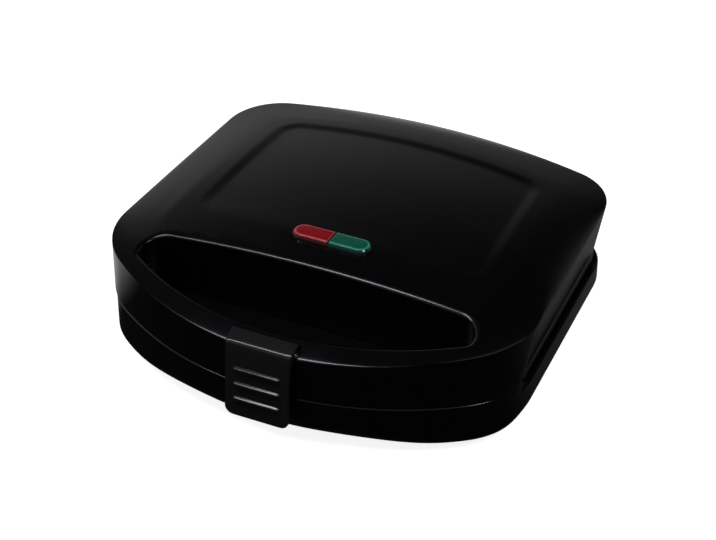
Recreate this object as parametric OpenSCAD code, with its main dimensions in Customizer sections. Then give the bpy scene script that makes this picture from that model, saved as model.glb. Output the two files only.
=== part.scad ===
// Two-slice sandwich toaster: a hinged clam with a front latch.
// Origin: centre of the footprint, on the table. +X right seen from the front, +Y to the back, +Z up.
// All sizes in millimetres.

/* [Footprint] */
// Distance from the centre line to the side wall, before the taper
side_reach = 115.8; // [110:0.1:124]
// Taper of each side wall towards the back, in degrees
side_taper = 3; // [0:0.5:5]
// Distance from the centre to the front wall, on the centre line
front_reach = 110; // [106:0.5:116]
// Distance from the centre to the rear wall, on the centre line
rear_reach = 112.6; // [109:0.2:116]
// Bow radius of the front wall
front_bow_r = 165; // [150:1:190]
// Bow radius of the rear wall
rear_bow_r = 345; // [280:5:450]
// Corner radius between the front and the side walls
front_corner_r = 48; // [40:1:56]
// Corner radius between the rear and the side walls
rear_corner_r = 33; // [30:1:38]

/* [Heights] */
// Height of the rubber feet below the base
foot_h = 4.5; // [3.5:0.5:5]
// Height of the base's upper deck above the table
deck_z = 30.5; // [29:0.5:33]
// Open line between base and lid
seam_gap = 0.6; // [0.4:0.1:1]
// Height of the lid's rim on the centre line of the front
rim_front_z = 54; // [52:0.5:56]
// Height of the lid's rim along the sides
rim_side_z = 60.5; // [58:0.5:62]
// Height of the lid at the top of its crown
crown_z = 73; // [72:0.5:76]

/* [Lid crown] */
// Drop of the crown 100 mm to the side of its top
crown_drop_x = 6; // [4:0.5:7]
// Drop of the crown 100 mm in front of or behind its top
crown_drop_y = 9.4; // [7:0.2:10]
// How far behind the centre the crown has its top
crown_y = 18.4; // [10:0.2:24]
// Width of the rounded shoulder round the lid
shoulder_w = 30; // [24:1:32]

/* [Sunken panel] */
// Half width of the sunken panel at its outer edge
panel_half_w = 82.5; // [76:0.5:86]
// Distance from the centre to the panel's rear edge
panel_rear_y = 81; // [72:0.5:84]
// Distance from the centre to where the panel fades out in front
panel_front_y = 34; // [28:1:38]
// Depth of the panel at its rear edge
panel_depth = 1.4; // [0.8:0.1:2.4]
// Length over which the panel gains its depth
panel_fade = 55; // [40:1:70]
// Width of the sloping step round the panel
panel_step_w = 8; // [6:0.5:10]

/* [Finger opening] */
// Distance from the centre to the opening's front edge
opening_front_y = 98.9; // [97:0.1:100]
// Distance from the centre to the opening's rear edge
opening_rear_y = 51.2; // [50:0.1:53]
// Half width of the opening
opening_half_w = 93.4; // [88:0.1:96]
// Bow radius of the opening's front edge
opening_bow_r = 156; // [150:1:170]
// Size of the rounded edge at the top of the opening
opening_edge = 2; // [1:0.1:2.5]

/* [Side recess] */
// Depth of the recess along both sides, where lid and base meet
recess_depth = 5.2; // [4:0.1:5.6]
// How far the base stands back under the lid at the sides and the rear
base_in = 2.4; // [1.4:0.1:2.8]
// Height of the ledge under the recess, on the base
ledge_z = 22.8; // [21:0.2:24]
// Width of the channel along the ledge
channel_w = 1.6; // [1.2:0.1:1.8]
// Depth of the channel along the ledge
channel_depth = 3; // [1.5:0.1:4]

/* [Walls] */
// Thickness of the moulded walls
wall = 2.6; // [2.2:0.1:3]
// Clearance between pieces that seat on one another
seat_gap = 0.3; // [0.25:0.05:0.4]
// Radial clearance of a pin in a turning bore
running_gap = 0.05; // [0.03:0.01:0.09]

/* [Cooking plates] */
// Width of both cooking plates
plate_w = 194; // [186:1:196]
// Depth of both cooking plates, front to back
plate_d = 126; // [120:1:128]
// Distance of the plates' centre behind the centre
plate_y = 19.5; // [18:0.5:21]
// Thickness of the plate's flange
plate_t = 2.4; // [2:0.1:3]
// Gap between the two closed plates
plate_gap = 0.3; // [0.25:0.05:0.4]
// Depth of the triangular pockets
pocket_depth = 11; // [8:0.5:11.5]
// Width of the raised bar between the two slices
middle_bar_w = 10; // [8:0.5:14]
// Width of the raised bar across each slice
cross_bar_w = 6; // [4:0.5:8]
// Width of the flat border round the pockets
plate_border = 8; // [7.5:0.5:10]

/* [Heating] */
// Outer radius of the tubular element
element_r = 3.1; // [2.8:0.1:3.4]
// Bend radius of the element's centre line
element_bend_r = 10; // [8:0.5:12]
// Thickness of the heat shields
shield_t = 0.8; // [0.6:0.1:1]

/* [Indicator] */
// Half length of the two-colour lens
lens_half_l = 22; // [18:0.5:24]
// Half width of the lens
lens_half_w = 6.2; // [5:0.1:7]
// Height of the lens above the lid
lens_rise = 2.4; // [1.6:0.1:3]
// Distance of the lens in front of the centre
lens_y = 29.2; // [26:0.1:32]

/* [Latch] */
// Half width of the latch
latch_half_w = 18; // [16:0.5:20]
// Height of the latch's upper edge
latch_top_z = 61; // [59:0.5:62]
// Height of the bend between the latch's bevel and face
latch_bend_z = 58.2; // [57:0.2:59]
// Height of the latch's lower edge
latch_low_z = 17.5; // [16:0.5:19]
// How far the latch stands proud of the front wall at its bend
latch_proud_top = 3.4; // [3:0.1:4]
// How far the latch stands proud of the front wall at its lower end
latch_proud_low = 7; // [6:0.1:7.2]
// Thickness of the latch
latch_t = 2.6; // [2.2:0.1:3]
// Number of grip ribs
rib_count = 3; // [2:1:4]

/* [Hinge] */
// Distance from the centre line to the middle of each hinge
hinge_x = 70; // [60:1:74]
// Radius of the hinge barrels
barrel_r = 4.6; // [4.2:0.1:5]
// Radius of the hinge pins
pin_r = 2; // [1.6:0.1:2.4]
// Length of the lid's knuckle
knuckle_l = 20; // [16:1:24]
// Length of each lug of the base
lug_l = 6; // [5:0.5:8]
// Gap between the rear wall and the hinge barrels
barrel_clear = 1; // [0.8:0.1:1.6]

/* [Hidden] */
$fn = 48;

// Colours as the object shows them
gloss_black = [0.035, 0.033, 0.04];
satin_black = [0.07, 0.07, 0.075];
plate_coat = [0.12, 0.12, 0.13];
bare_steel = [0.62, 0.63, 0.65];

// A cut runs this far past the face that it opens
past = 1;

lid_z = deck_z + seam_gap;
base_z = foot_h;

// ---- outlines -------------------------------------------------------------------------------
// An outline point is [x, y, nx, ny]: a place and the outward direction there.
function arc_points(c, r, a0, a1, n) =
    [for (i = [0 : n - 1])
        let (a = a0 + (a1 - a0) * i / n)
        [c[0] + r * cos(a), c[1] + r * sin(a), cos(a), sin(a)]];

function line_points(p, q, n) =
    let (d = (q - p) / norm(q - p))
    [for (i = [0 : n - 1]) let (s = p + (q - p) * i / n) [s[0], s[1], d[1], -d[0]]];

// Centre of a circle of radius r that touches a side wall and, from inside, a bow of radius bow_r
function corner_centre(bow_c, bow_r, side_p, side_a, r, way) =
    let (n = [cos(side_a), sin(side_a)],
         d = [-sin(side_a), cos(side_a)],
         q = n * (side_p - r) - bow_c,
         t = -q * d + way * sqrt(pow(q * d, 2) - q * q + pow(bow_r - r, 2)))
    n * (side_p - r) + d * t;

function angle_of(v) = atan2(v[1], v[0]);

// Right half of a bowed outline, from the front's middle to the rear's middle
function half_outline(front, bow_f, side, taper, rear, bow_r, r_f, r_r, side_n = 9) =
    let (cf = [0, bow_f - front],
         cr = [0, rear - bow_r],
         c1 = corner_centre(cf, bow_f, side, taper, r_f, -1),
         c2 = corner_centre(cr, bow_r, side, taper, r_r, 1),
         af = angle_of(c1 - cf),
         ar = angle_of(c2 - cr),
         n = [cos(taper), sin(taper)])
    concat(arc_points(cf, bow_f, -90, af, 9),
           arc_points(c1, r_f, af, taper, 7),
           line_points(c1 + n * r_f, c2 + n * r_r, side_n),
           arc_points(c2, r_r, taper, ar, 7),
           arc_points(cr, bow_r, ar, 90, 4),
           [[0, rear, 0, 1]]);

function both_halves(h) =
    concat(h, [for (i = [len(h) - 2 : -1 : 1]) [-h[i][0], h[i][1], -h[i][2], h[i][3]]]);

function inset(outline, d) =
    [for (p = outline) [p[0] - p[2] * d, p[1] - p[3] * d, p[2], p[3]]];

function flat(outline) = [for (p = outline) [p[0], p[1]]];

body_line = both_halves(half_outline(front_reach, front_bow_r, side_reach, side_taper,
    rear_reach, rear_bow_r, front_corner_r, rear_corner_r));

// The opening's tips: two corner arcs with a short straight piece between them
opening_corner_f = 5;
opening_tip_y = opening_bow_r - opening_front_y
    - sqrt(pow(opening_bow_r - opening_corner_f, 2) - pow(opening_half_w - opening_corner_f, 2));
opening_corner_most = 12;
opening_corner_r = min(opening_corner_most, -opening_rear_y - opening_tip_y - 2);
opening_rear_bow = 9000;
opening_line = both_halves(half_outline(opening_front_y, opening_bow_r, opening_half_w, 0,
    -opening_rear_y, opening_rear_bow, opening_corner_f, opening_corner_r, 2));

// Smooth step from 0 at a to 1 at b
function ease(v, a, b) = let (t = min(1, max(0, (v - a) / (b - a)))) t * t * (3 - 2 * t);

// The side recess starts behind the front pillar and ends round the rear corner
recess_front_y = -56;
recess_lean = 0.36;
recess_ramp = 13;
recess_rear_n = 0.35;
function recess_at(p, z) =
    let (y0 = recess_front_y + recess_lean * (z - deck_z))
    recess_depth * ease(p[1], y0, y0 + recess_ramp) * ease(abs(p[2]), recess_rear_n, 2 * recess_rear_n);

// The base stands back everywhere but in front
base_front_y = -95;
base_full_y = -45;
function base_at(p) = base_in * ease(p[1], base_front_y, base_full_y);

function inset_by(outline, d) =
    [for (i = [0 : len(outline) - 1])
        let (p = outline[i])
        [p[0] - p[2] * d[i], p[1] - p[3] * d[i], p[2], p[3]]];

panel_front_bow_r = 900;
panel_rear_bow_r = 420;
panel_front_corner_r = 14;
panel_rear_corner_r = 16;
panel_line = both_halves(half_outline(panel_front_y, panel_front_bow_r, panel_half_w, side_taper,
    panel_rear_y, panel_rear_bow_r, panel_front_corner_r, panel_rear_corner_r));

// ---- lofts ----------------------------------------------------------------------------------
// A solid through closed rings of points, all with the same count, closed by a flat first ring
// and by a point in the middle of the last one
function ring_middle(ring) =
    let (n = len(ring))
    [for (k = [0 : 2]) [for (p = ring) 1] * [for (p = ring) p[k]] / n];

module loft(rings) {
    n = len(rings[0]);
    m = len(rings);
    points = concat([for (ring = rings) each ring], [ring_middle(rings[m - 1])]);
    sides = [for (j = [0 : m - 2], i = [0 : n - 1])
        let (a = j * n + i,
             b = j * n + (i + 1) % n)
        each [[a, b + n, b], [a, a + n, b + n]]];
    first = [[for (i = [0 : n - 1]) i]];
    last = [for (i = [0 : n - 1]) [(m - 1) * n + i, m * n, (m - 1) * n + (i + 1) % n]];
    polyhedron(points = points, faces = concat(first, sides, last));
}

function at_height(outline, z) = [for (p = outline) [p[0], p[1], z]];

// ---- the lid's top surface --------------------------------------------------------------------
// Height of the crown, before the shoulder rounds it off
function crown(x, y) =
    crown_z - crown_drop_x * pow(x / 100, 2) - crown_drop_y * pow((y - crown_y) / 100, 2);

// The rim sinks towards the middle of the front
rim_fall_y = -55;
function rim_z(y) =
    rim_side_z - (rim_side_z - rim_front_z) * pow(max(0, rim_fall_y - y) / (front_reach + rim_fall_y), 2);

// Share of the shoulder's rise at a distance u in from the outline
function shoulder_share(u) = sqrt(1 - pow(1 - min(u, shoulder_w) / shoulder_w, 2));

// A ring of the lid's top, u in from the outline and sunk by s
function lid_ring(u, s = 0) =
    [for (p = body_line)
        let (x = p[0] - p[2] * u,
             y = p[1] - p[3] * u,
             z0 = rim_z(p[1]))
        [x, y, z0 + (crown(x, y) - z0) * shoulder_share(u) - s]];

// Share of the sunken panel's full depth: nothing in front, with a soft start, and all of it behind
panel_soft = 0.3;
function panel_share(y) =
    let (t = min(1, max(0, y + panel_front_y) / panel_fade))
    t * (2 - t) * ease(t, 0, panel_soft);

// The step round the panel is narrower where the panel is shallow
panel_step_least = 0.4;
function panel_step(y) = panel_step_w * (panel_step_least + (1 - panel_step_least) * panel_share(y));

// Blend from the shoulder's last ring (0) to the panel's outer edge (1)
function crown_ring(t, s = 0) =
    [for (i = [0 : len(body_line) - 1])
        let (p = body_line[i],
             q = panel_line[i],
             x0 = p[0] - p[2] * last_ring_u,
             y0 = p[1] - p[3] * last_ring_u,
             x = x0 + (q[0] - x0) * t,
             y = y0 + (q[1] - y0) * t,
             z0 = rim_z(p[1]),
             u = last_ring_u + t * norm([q[0] - x0, q[1] - y0]))
        [x, y, z0 + (crown(x, y) - z0) * shoulder_share(u) - s]];

// A ring of the panel: d is its share of the step's width, k scales it towards its middle, and the
// floor's share is 0 on the crown and 1 on the floor
panel_mid_y = (panel_rear_y - panel_front_y) / 2;
function panel_ring(d, k, floor_share, s = 0) =
    [for (p = inset_by(panel_line, [for (q = panel_line) d * panel_step(q[1])]))
        let (x = p[0] * k,
             y = panel_mid_y + (p[1] - panel_mid_y) * k)
        [x, y, crown(x, y) - floor_share * panel_depth * panel_share(y) - s]];

// ---- lid housing -------------------------------------------------------------------------------
last_ring_u = 20;

// A ring of the lid's side wall: t is 0 at its lower edge and 1 at the rim
function lid_wall_ring(t) =
    [for (p = body_line)
        let (z = lid_z + (rim_z(p[1]) - lid_z) * t,
             d = recess_at(p, z) * (1 - t))
        [p[0] - p[2] * d, p[1] - p[3] * d, z]];

module lid_outer() {
    loft(concat(
        [for (t = [0, 0.35, 0.7]) lid_wall_ring(t)],
        [for (u = [0, 0.5, 1.8, 4.2, 8, 13, last_ring_u]) lid_ring(u)],
        [for (t = [0.33, 0.67]) crown_ring(t)],
        [panel_ring(0, 1, 0), panel_ring(0.5, 1, 0.5), panel_ring(1, 1, 1)],
        [for (k = [0.7, 0.35]) panel_ring(1, k, 1)]));
}

// The inner face of the lid's wall follows the recess
cavity_line = inset_by(body_line, [for (p = body_line) wall + recess_at(p, lid_z)]);
cavity_round = 5;

module lid_cavity() {
    loft(concat(
        [at_height(cavity_line, lid_z - past)],
        [[for (p = body_line)
            let (z = rim_z(p[1]) - cavity_round,
                 d = wall + 1 + recess_at(p, z) * 0.2)
            [p[0] - p[2] * d, p[1] - p[3] * d, z]]],
        [lid_ring(10, wall + 0.4), lid_ring(last_ring_u, wall)],
        [for (t = [0.33, 0.67]) crown_ring(t, wall)],
        [panel_ring(0, 1, 0, wall)],
        [for (k = [1, 0.5]) panel_ring(1, k, 1, wall)]));
}

// Bosses for the screws of the inner frame
lid_boss_r = 3.3;
pilot_r = 1.2;
frame_screw_in = 11.3;
frame_corner_in = 23.3;
frame_screw_places_y = [-27, rear_reach - 25.1, rear_reach - 16.1];
function frame_screw_places() =
    [for (sx = [-1, 1]) each [
        [sx * (side_reach - frame_screw_in), frame_screw_places_y[0]],
        [sx * (side_reach - frame_corner_in), frame_screw_places_y[1]],
        [sx * 28, frame_screw_places_y[2]]]];

frame_t = 2.4;
frame_z = lid_z + 0.5;
frame_top_z = frame_z + frame_t;

module lid_bosses() {
    for (p = frame_screw_places()) {
        translate([p[0], p[1], frame_top_z + seat_gap])
            cylinder(r = lid_boss_r, h = crown_z - frame_top_z);
    }
}

// Lens and lamp holder under the lid
lens_flange_t = 1.4;
lens_flange_w = 1.4;
lens_seat_z = crown(lens_half_l + lens_flange_w, -lens_y - lens_half_w - lens_flange_w) - wall - 2.5 * seat_gap;
holder_half_l = 24;
holder_half_w = 8.6;
holder_top_z = lens_seat_z - lens_flange_t - seat_gap;
holder_h = 9.5;
holder_t = 1.5;
guide_t = 2;
guide_reach = 6;

module lens_guides() {
    for (side = [-1, 1]) {
        translate([side * (holder_half_l + seat_gap + guide_t / 2), -lens_y, holder_top_z - guide_reach])
            translate([-guide_t / 2, -holder_half_w, 0])
                cube([guide_t, 2 * holder_half_w, 20]);
    }
}

// Latch well in the middle of the front
well_half_w = latch_half_w + 0.4;
well_back_y = -front_reach + 9;
well_floor_z = 49.5;
latch_axis_y = -front_reach + 4.6;
latch_axis_z = 54.2;
latch_pin_r = 1.5;
latch_boss_r = 2.9;
latch_cheek_w = 7;
latch_pin_half_l = well_half_w + 5;

cheek_in = 0.8;
cheek_d = 11;
cheek_low = 6;
module latch_cheeks() {
    translate([-well_half_w - latch_cheek_w, -front_reach + cheek_in, lid_z + cheek_low])
        cube([2 * (well_half_w + latch_cheek_w), cheek_d, crown_z - lid_z]);
}

// Hinge places: the barrels stand behind the rear wall
function rear_wall_y(x) = rear_reach - rear_bow_r + sqrt(pow(rear_bow_r, 2) - pow(x, 2));
hinge_y = rear_wall_y(hinge_x - knuckle_l / 2 - lug_l) + barrel_r + barrel_clear;
hinge_z = lid_z - seam_gap / 2;
hinge_end_gap = 0.4;
hinge_block_y = rear_reach - 18.6;
lid_arm_in = 13;
lug_arm_in = 14;

module x_cylinder(x0, x1, y, z, r) {
    translate([x0, y, z])
        rotate([0, 90, 0])
            cylinder(r = r, h = x1 - x0);
}

hinge_block_more = 4;
hinge_block_h = 12;
module hinge_blocks() {
    for (side = [-1, 1]) {
        translate([side * hinge_x - knuckle_l / 2 - hinge_block_more, hinge_block_y, frame_top_z + seat_gap])
            cube([knuckle_l + 2 * hinge_block_more, rear_reach - hinge_block_y + past, hinge_block_h]);
    }
}

module lid_knuckle(side) {
    x0 = side * hinge_x - knuckle_l / 2;
    difference() {
        union() {
            x_cylinder(x0, x0 + knuckle_l, hinge_y, hinge_z, barrel_r);
            translate([x0, 0, 0])
                rotate([90, 0, 90])
                    linear_extrude(knuckle_l)
                        polygon([[hinge_y - lid_arm_in, lid_z + 0.2], [hinge_y, lid_z + 0.2],
                            [hinge_y + barrel_r * cos(50), hinge_z + barrel_r * sin(50)],
                            [hinge_y - lid_arm_in, hinge_z + barrel_r + 6]]);
        }
        x_cylinder(x0 - past, x0 + knuckle_l + past, hinge_y, hinge_z, pin_r + running_gap);
    }
}

// The space outside the recess wall of the base, between two heights
field = 300;
module outside_of(d, z0, z1) {
    difference() {
        translate([-field / 2, -field / 2, z0])
            cube([field, field, z1 - z0]);
        translate([0, 0, z0 - past])
            linear_extrude(z1 - z0 + 2 * past)
                polygon(flat(inset_by(body_line, d)));
    }
}

module both_sides() {
    children();
    mirror([1, 0, 0]) children();
}

// Finger opening with rounded upper edges that follow the lid's top
function top_over(p, s) =
    let (back = crown(p[0], p[1]),
         u = min([for (q = body_line) norm([q[0] - p[0], q[1] - p[1]])]),
         z0 = rim_z(p[1]))
    z0 + (back - z0) * shoulder_share(u) - s;

module opening_cutter() {
    loft(concat(
        [at_height(opening_line, lid_z - past)],
        [for (s = [[0, 1], [0.3, 0.29], [1, -0.03]])
            [for (p = opening_line)
                [p[0] + p[2] * s[0] * opening_edge, p[1] + p[3] * s[0] * opening_edge,
                    top_over(p, s[1] * opening_edge)]]],
        [at_height(inset(opening_line, -opening_edge), crown_z + 10)]));
}

module opening_wall() {
    translate([0, 0, lid_z])
        linear_extrude(crown_z)
            polygon(flat(inset(opening_line, -wall)));
}

module lens_slot() {
    slot_w = lens_half_w + seat_gap;
    slot_l = lens_half_l + seat_gap;
    translate([0, -lens_y, 50]) {
        linear_extrude(40)
            square([2 * (slot_l - slot_w), 2 * slot_w], center = true);
        for (side = [-1, 1]) {
            translate([side * (slot_l - slot_w), 0, 0])
                cylinder(r = slot_w, h = 40);
        }
    }
}

module lid_housing() {
    color(gloss_black) {
        difference() {
            lid_outer();
            difference() {
                lid_cavity();
                opening_wall();
                lid_bosses();
                lens_guides();
                latch_cheeks();
                hinge_blocks();
            }
            opening_cutter();
            translate([-well_half_w, -front_reach - 10, well_floor_z])
                cube([2 * well_half_w, 10 + front_reach + well_back_y, 30]);
            x_cylinder(-latch_pin_half_l - seat_gap, latch_pin_half_l + seat_gap, latch_axis_y,
                latch_axis_z, latch_pin_r + running_gap);
            for (p = frame_screw_places()) {
                translate([p[0], p[1], lid_z])
                    cylinder(r = pilot_r, h = 16);
            }
            lens_slot();
        }
        lid_knuckle(-1);
        lid_knuckle(1);
    }
}

// ---- cooking plates ------------------------------------------------------------------------------
// The plates are drawn face up with their face at height 0, and turned over for the lid.
mid_z = deck_z + seam_gap / 2;
lower_face_z = mid_z - plate_gap / 2;
upper_face_z = mid_z + plate_gap / 2;

plate_corner_r = 14;
module plate_prism(grow, z0, z1) {
    r = plate_corner_r + grow;
    w = plate_w + 2 * grow;
    d = plate_d + 2 * grow;
    translate([0, plate_y, z0])
        linear_extrude(z1 - z0) {
            square([w, d - 2 * r], center = true);
            square([w - 2 * r, d], center = true);
            for (sx = [-1, 1], sy = [-1, 1]) {
                translate([sx * (w / 2 - r), sy * (d / 2 - r)])
                    circle(r = r);
            }
        }
}

// Ring of a convex outline with vertices v, drawn in by d, its corners rounded by the radii r
function edge_out(p, q) = let (e = (q - p) / norm(q - p)) [e[1], -e[0]];

function rounded_ring(v, r, d, z, k = 5) =
    let (n = len(v))
    [for (i = [0 : n - 1])
        let (n0 = edge_out(v[(i + n - 1) % n], v[i]),
             n1 = edge_out(v[i], v[(i + 1) % n]),
             rr = max(r[i] - d, 2),
             c = v[i] - (n0 + n1) * (d + rr) / (1 + n0 * n1),
             a0 = angle_of(n0),
             turn = (angle_of(n1) - a0 + 360) % 360)
        for (j = [0 : k])
            [c[0] + rr * cos(a0 + turn * j / k), c[1] + rr * sin(a0 + turn * j / k), z]];

// The two triangles of the right slice, as corners and corner radii
pocket_x0 = middle_bar_w / 2;
pocket_x1 = plate_w / 2 - plate_border;
pocket_y0 = plate_y - plate_d / 2 + plate_border;
pocket_y1 = plate_y + plate_d / 2 - plate_border;
pocket_run = norm([pocket_x1 - pocket_x0, pocket_y1 - pocket_y0]);
bar_dx = cross_bar_w / 2 * pocket_run / (pocket_y1 - pocket_y0);
bar_dy = cross_bar_w / 2 * pocket_run / (pocket_x1 - pocket_x0);
square_corner_r = 17;
sharp_corner_r = 7;
pocket_triangles = [
    [[[pocket_x0 + bar_dx, pocket_y0], [pocket_x1, pocket_y0], [pocket_x1, pocket_y1 - bar_dy]],
        [sharp_corner_r, square_corner_r, sharp_corner_r]],
    [[[pocket_x0, pocket_y0 + bar_dy], [pocket_x1 - bar_dx, pocket_y1], [pocket_x0, pocket_y1]],
        [sharp_corner_r, sharp_corner_r, square_corner_r]]];

// Section of a pocket from its floor to its mouth: how far in, and the share of its depth
pocket_section = [[12, 1], [7, 0.88], [3, 0.46], [0, 0]];

module pocket_hollow(t) {
    loft(concat(
        [for (s = pocket_section) rounded_ring(t[0], t[1], s[0], -s[1] * pocket_depth)],
        [rounded_ring(t[0], t[1], 0, past)]));
}

// The casting round a pocket is the same form, one plate thickness larger
shell_section = [[10.8, 1, 1], [4.8, 0.9, 0.75], [0.7, 0.5, 0.3], [-2.2, 0.1, 0]];

module pocket_shell(t) {
    loft(concat(
        [for (s = shell_section)
            rounded_ring(t[0], t[1], s[0], -s[1] * pocket_depth - s[2] * plate_t)],
        [rounded_ring(t[0], t[1], -2.2, -0.5)]));
}

// Screws in the plate's corners, from behind
plate_screw_in = 6.6;
plate_boss_r = 2.8;
function plate_screw_places() =
    [for (sx = [-1, 1], sy = [-1, 1])
        [sx * (plate_w / 2 - plate_screw_in), plate_y + sy * (plate_d / 2 - plate_screw_in)]];

// The ledge that carries a plate, below its flange
ledge_w = 5;
ledge_t = 2.7;
ledge_z0 = -plate_t - seat_gap;
ledge_z1 = ledge_z0 - ledge_t;
tab_r = 5.8;
plate_side_gap = 0.4;

// The element lies on pads of the casting, and straps hold it there
casting_z = -pocket_depth - plate_t;
element_z = casting_z - seat_gap - element_r;
strap_t = 1;
strap_w = 8;
strap_leg = 12;
strap_hole_x = 8.4;
rivet_r = 1.4;
rivet_in = 1.3;
pad_r = 3.4;
loop_x = plate_w / 2 - 27;
loop_front_y = plate_y - plate_d / 2 + 18.5;
loop_rear_y = plate_y + plate_d / 2 - 12.5;
tail_x = 15;
tail_end_y = plate_y + plate_d / 2 - 0.5;
function strap_places() =
    [[-loop_x, plate_y, 0], [loop_x, plate_y, 0], [-36, loop_front_y, 90], [36, loop_front_y, 90]];

// The thermostat and the fuse hang from two bosses on the casting's middle bar
control_boss_r = 2.4;
control_y = plate_y;
fuse_y = plate_y + 32;

module casting_bosses() {
    for (p = plate_screw_places()) {
        translate([p[0], p[1], ledge_z1 + 0.2])
            cylinder(r = plate_boss_r, h = -plate_t / 2 - ledge_z1 - 0.2);
    }
    for (p = strap_places(), side = [-1, 1]) {
        translate([p[0], p[1], casting_z])
            rotate([0, 0, p[2]])
                translate([side * strap_hole_x, 0, 0])
                    cylinder(r = pad_r, h = -plate_t / 2 - casting_z);
    }
    for (y = [control_y, fuse_y]) {
        translate([0, y, casting_z])
            cylinder(r = control_boss_r, h = -plate_t / 2 - casting_z);
    }
}

plate_screw_r = 1.3;
plate_screw_in_boss = 4.4;
module plate_body() {
    difference() {
        union() {
            plate_prism(0, -plate_t, 0);
            both_sides() for (t = pocket_triangles) pocket_shell(t);
            casting_bosses();
        }
        both_sides() for (t = pocket_triangles) pocket_hollow(t);
        for (p = plate_screw_places()) {
            translate([p[0], p[1], ledge_z1 - past])
                cylinder(r = plate_screw_r + 0.1, h = past + plate_screw_in_boss);
        }
        for (p = strap_places(), side = [-1, 1]) {
            translate([p[0], p[1], casting_z - past])
                rotate([0, 0, p[2]])
                    translate([side * strap_hole_x, 0, 0])
                        cylinder(r = rivet_r + 0.2, h = past + rivet_in + 0.2);
        }
    }
}

plate_screw_head_r = 4.4;
plate_screw_head_t = 1.8;
module plate_screws_body() {
    for (p = plate_screw_places()) {
        translate([p[0], p[1], ledge_z1 - seat_gap])
            mirror([0, 0, 1])
                cylinder(r = plate_screw_head_r, h = plate_screw_head_t);
        translate([p[0], p[1], ledge_z1 - seat_gap - past])
            cylinder(r = plate_screw_r, h = plate_screw_in_boss + past);
    }
}

// Ledge, ring wall and screw tabs round a plate
module ledge_ring() {
    plate_prism(plate_side_gap + wall, ledge_z1, -plate_t / 2);
}

module ledge_cut() {
    plate_prism(plate_side_gap, ledge_z0, past + 4);
    difference() {
        plate_prism(-ledge_w, ledge_z1 - past, 0);
        for (p = plate_screw_places()) {
            translate([p[0], p[1], ledge_z1])
                cylinder(r = tab_r, h = ledge_t);
        }
    }
    for (p = plate_screw_places()) {
        translate([p[0], p[1], ledge_z1 - past])
            cylinder(r = plate_boss_r + plate_side_gap, h = ledge_t + 2 * past);
    }
}

// Tubular element: one loop with two tails to the back
module tube_run(p, q) {
    turn = angle_of(q - p);
    translate([p[0], p[1], 0])
        rotate([0, 0, turn])
            rotate([0, 90, 0])
                cylinder(r = element_r, h = norm(q - p));
}

module tube_bend(c, a0) {
    translate([c[0], c[1], 0])
        rotate([0, 0, a0])
            rotate_extrude(angle = 90)
                translate([element_bend_r, 0])
                    circle(r = element_r);
}

tail_pin_r = 1.1;
tail_pin_l = 6;
module element_body() {
    b = element_bend_r;
    translate([0, 0, element_z]) {
        tube_run([-loop_x + b, loop_front_y], [loop_x - b, loop_front_y]);
        both_sides() {
            tube_bend([loop_x - b, loop_front_y + b], 270);
            tube_run([loop_x, loop_front_y + b], [loop_x, loop_rear_y - b]);
            tube_bend([loop_x - b, loop_rear_y - b], 0);
            tube_run([loop_x - b, loop_rear_y], [tail_x + b, loop_rear_y]);
            tube_bend([tail_x + b, loop_rear_y + b], 180);
            tube_run([tail_x, loop_rear_y + b], [tail_x, tail_end_y]);
            translate([tail_x, tail_end_y - past, 0])
                rotate([-90, 0, 0])
                    cylinder(r = tail_pin_r, h = tail_pin_l + past);
        }
    }
}

// Straps over the element
module strap() {
    inner_r = element_r + seat_gap;
    outer_r = inner_r + strap_t;
    leg_z = casting_z - seat_gap - element_z;
    rotate([90, 0, 0])
        translate([0, 0, -strap_w / 2])
            linear_extrude(strap_w)
                difference() {
                    union() {
                        circle(r = outer_r);
                        translate([-outer_r, 0])
                            square([2 * outer_r, leg_z]);
                        translate([-strap_leg, leg_z - strap_t])
                            square([2 * strap_leg, strap_t]);
                    }
                    circle(r = inner_r);
                    translate([-inner_r, 0])
                        square([2 * inner_r, leg_z + past]);
                    translate([-outer_r, leg_z])
                        square([2 * outer_r, outer_r]);
                }
    for (side = [-1, 1]) {
        translate([side * strap_hole_x, 0, leg_z - strap_t - 0.8])
            cylinder(r = rivet_r, h = strap_t + 0.8 + seat_gap + rivet_in);
        translate([side * strap_hole_x, 0, leg_z - strap_t - 0.8])
            cylinder(r = rivet_r + 1, h = 0.8);
    }
}

module straps_body() {
    for (p = strap_places()) {
        translate([p[0], p[1], element_z])
            rotate([0, 0, p[2]])
                strap();
    }
}

// Heat shield: a shallow sheet pan with four ears
shield_z = element_z - element_r - seat_gap - strap_t - 0.35;
shield_in = 1.5;
shield_rim_h = 1.3;
ear_y = plate_d / 2 - 21;
ear_w = 9;
ear_reach = 4.4;
module shield_body() {
    difference() {
        plate_prism(-shield_in, shield_z - shield_t, shield_z + shield_rim_h);
        plate_prism(-shield_in - shield_t, shield_z, shield_z + shield_rim_h + past);
    }
    for (sx = [-1, 1], sy = [-1, 1]) {
        translate([sx * (plate_w / 2 - shield_in + ear_reach / 2 - past / 2), plate_y + sy * ear_y,
            shield_z - shield_t / 2])
            cube([ear_reach + past, ear_w, shield_t], center = true);
    }
}

module in_base() {
    translate([0, 0, lower_face_z]) children();
}

module in_lid() {
    translate([0, 0, upper_face_z]) mirror([0, 0, 1]) children();
}

module lower_plate() {
    color(plate_coat) in_base() plate_body();
}

module upper_plate() {
    color(plate_coat) in_lid() plate_body();
}

module lower_plate_screws() {
    color(bare_steel) in_base() plate_screws_body();
}

module upper_plate_screws() {
    color(bare_steel) in_lid() plate_screws_body();
}

module lower_element() {
    color(bare_steel) in_base() element_body();
}

module upper_element() {
    color(bare_steel) in_lid() element_body();
}

module lower_element_clamps() {
    color(bare_steel) in_base() straps_body();
}

module upper_element_clamps() {
    color(bare_steel) in_lid() straps_body();
}

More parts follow.
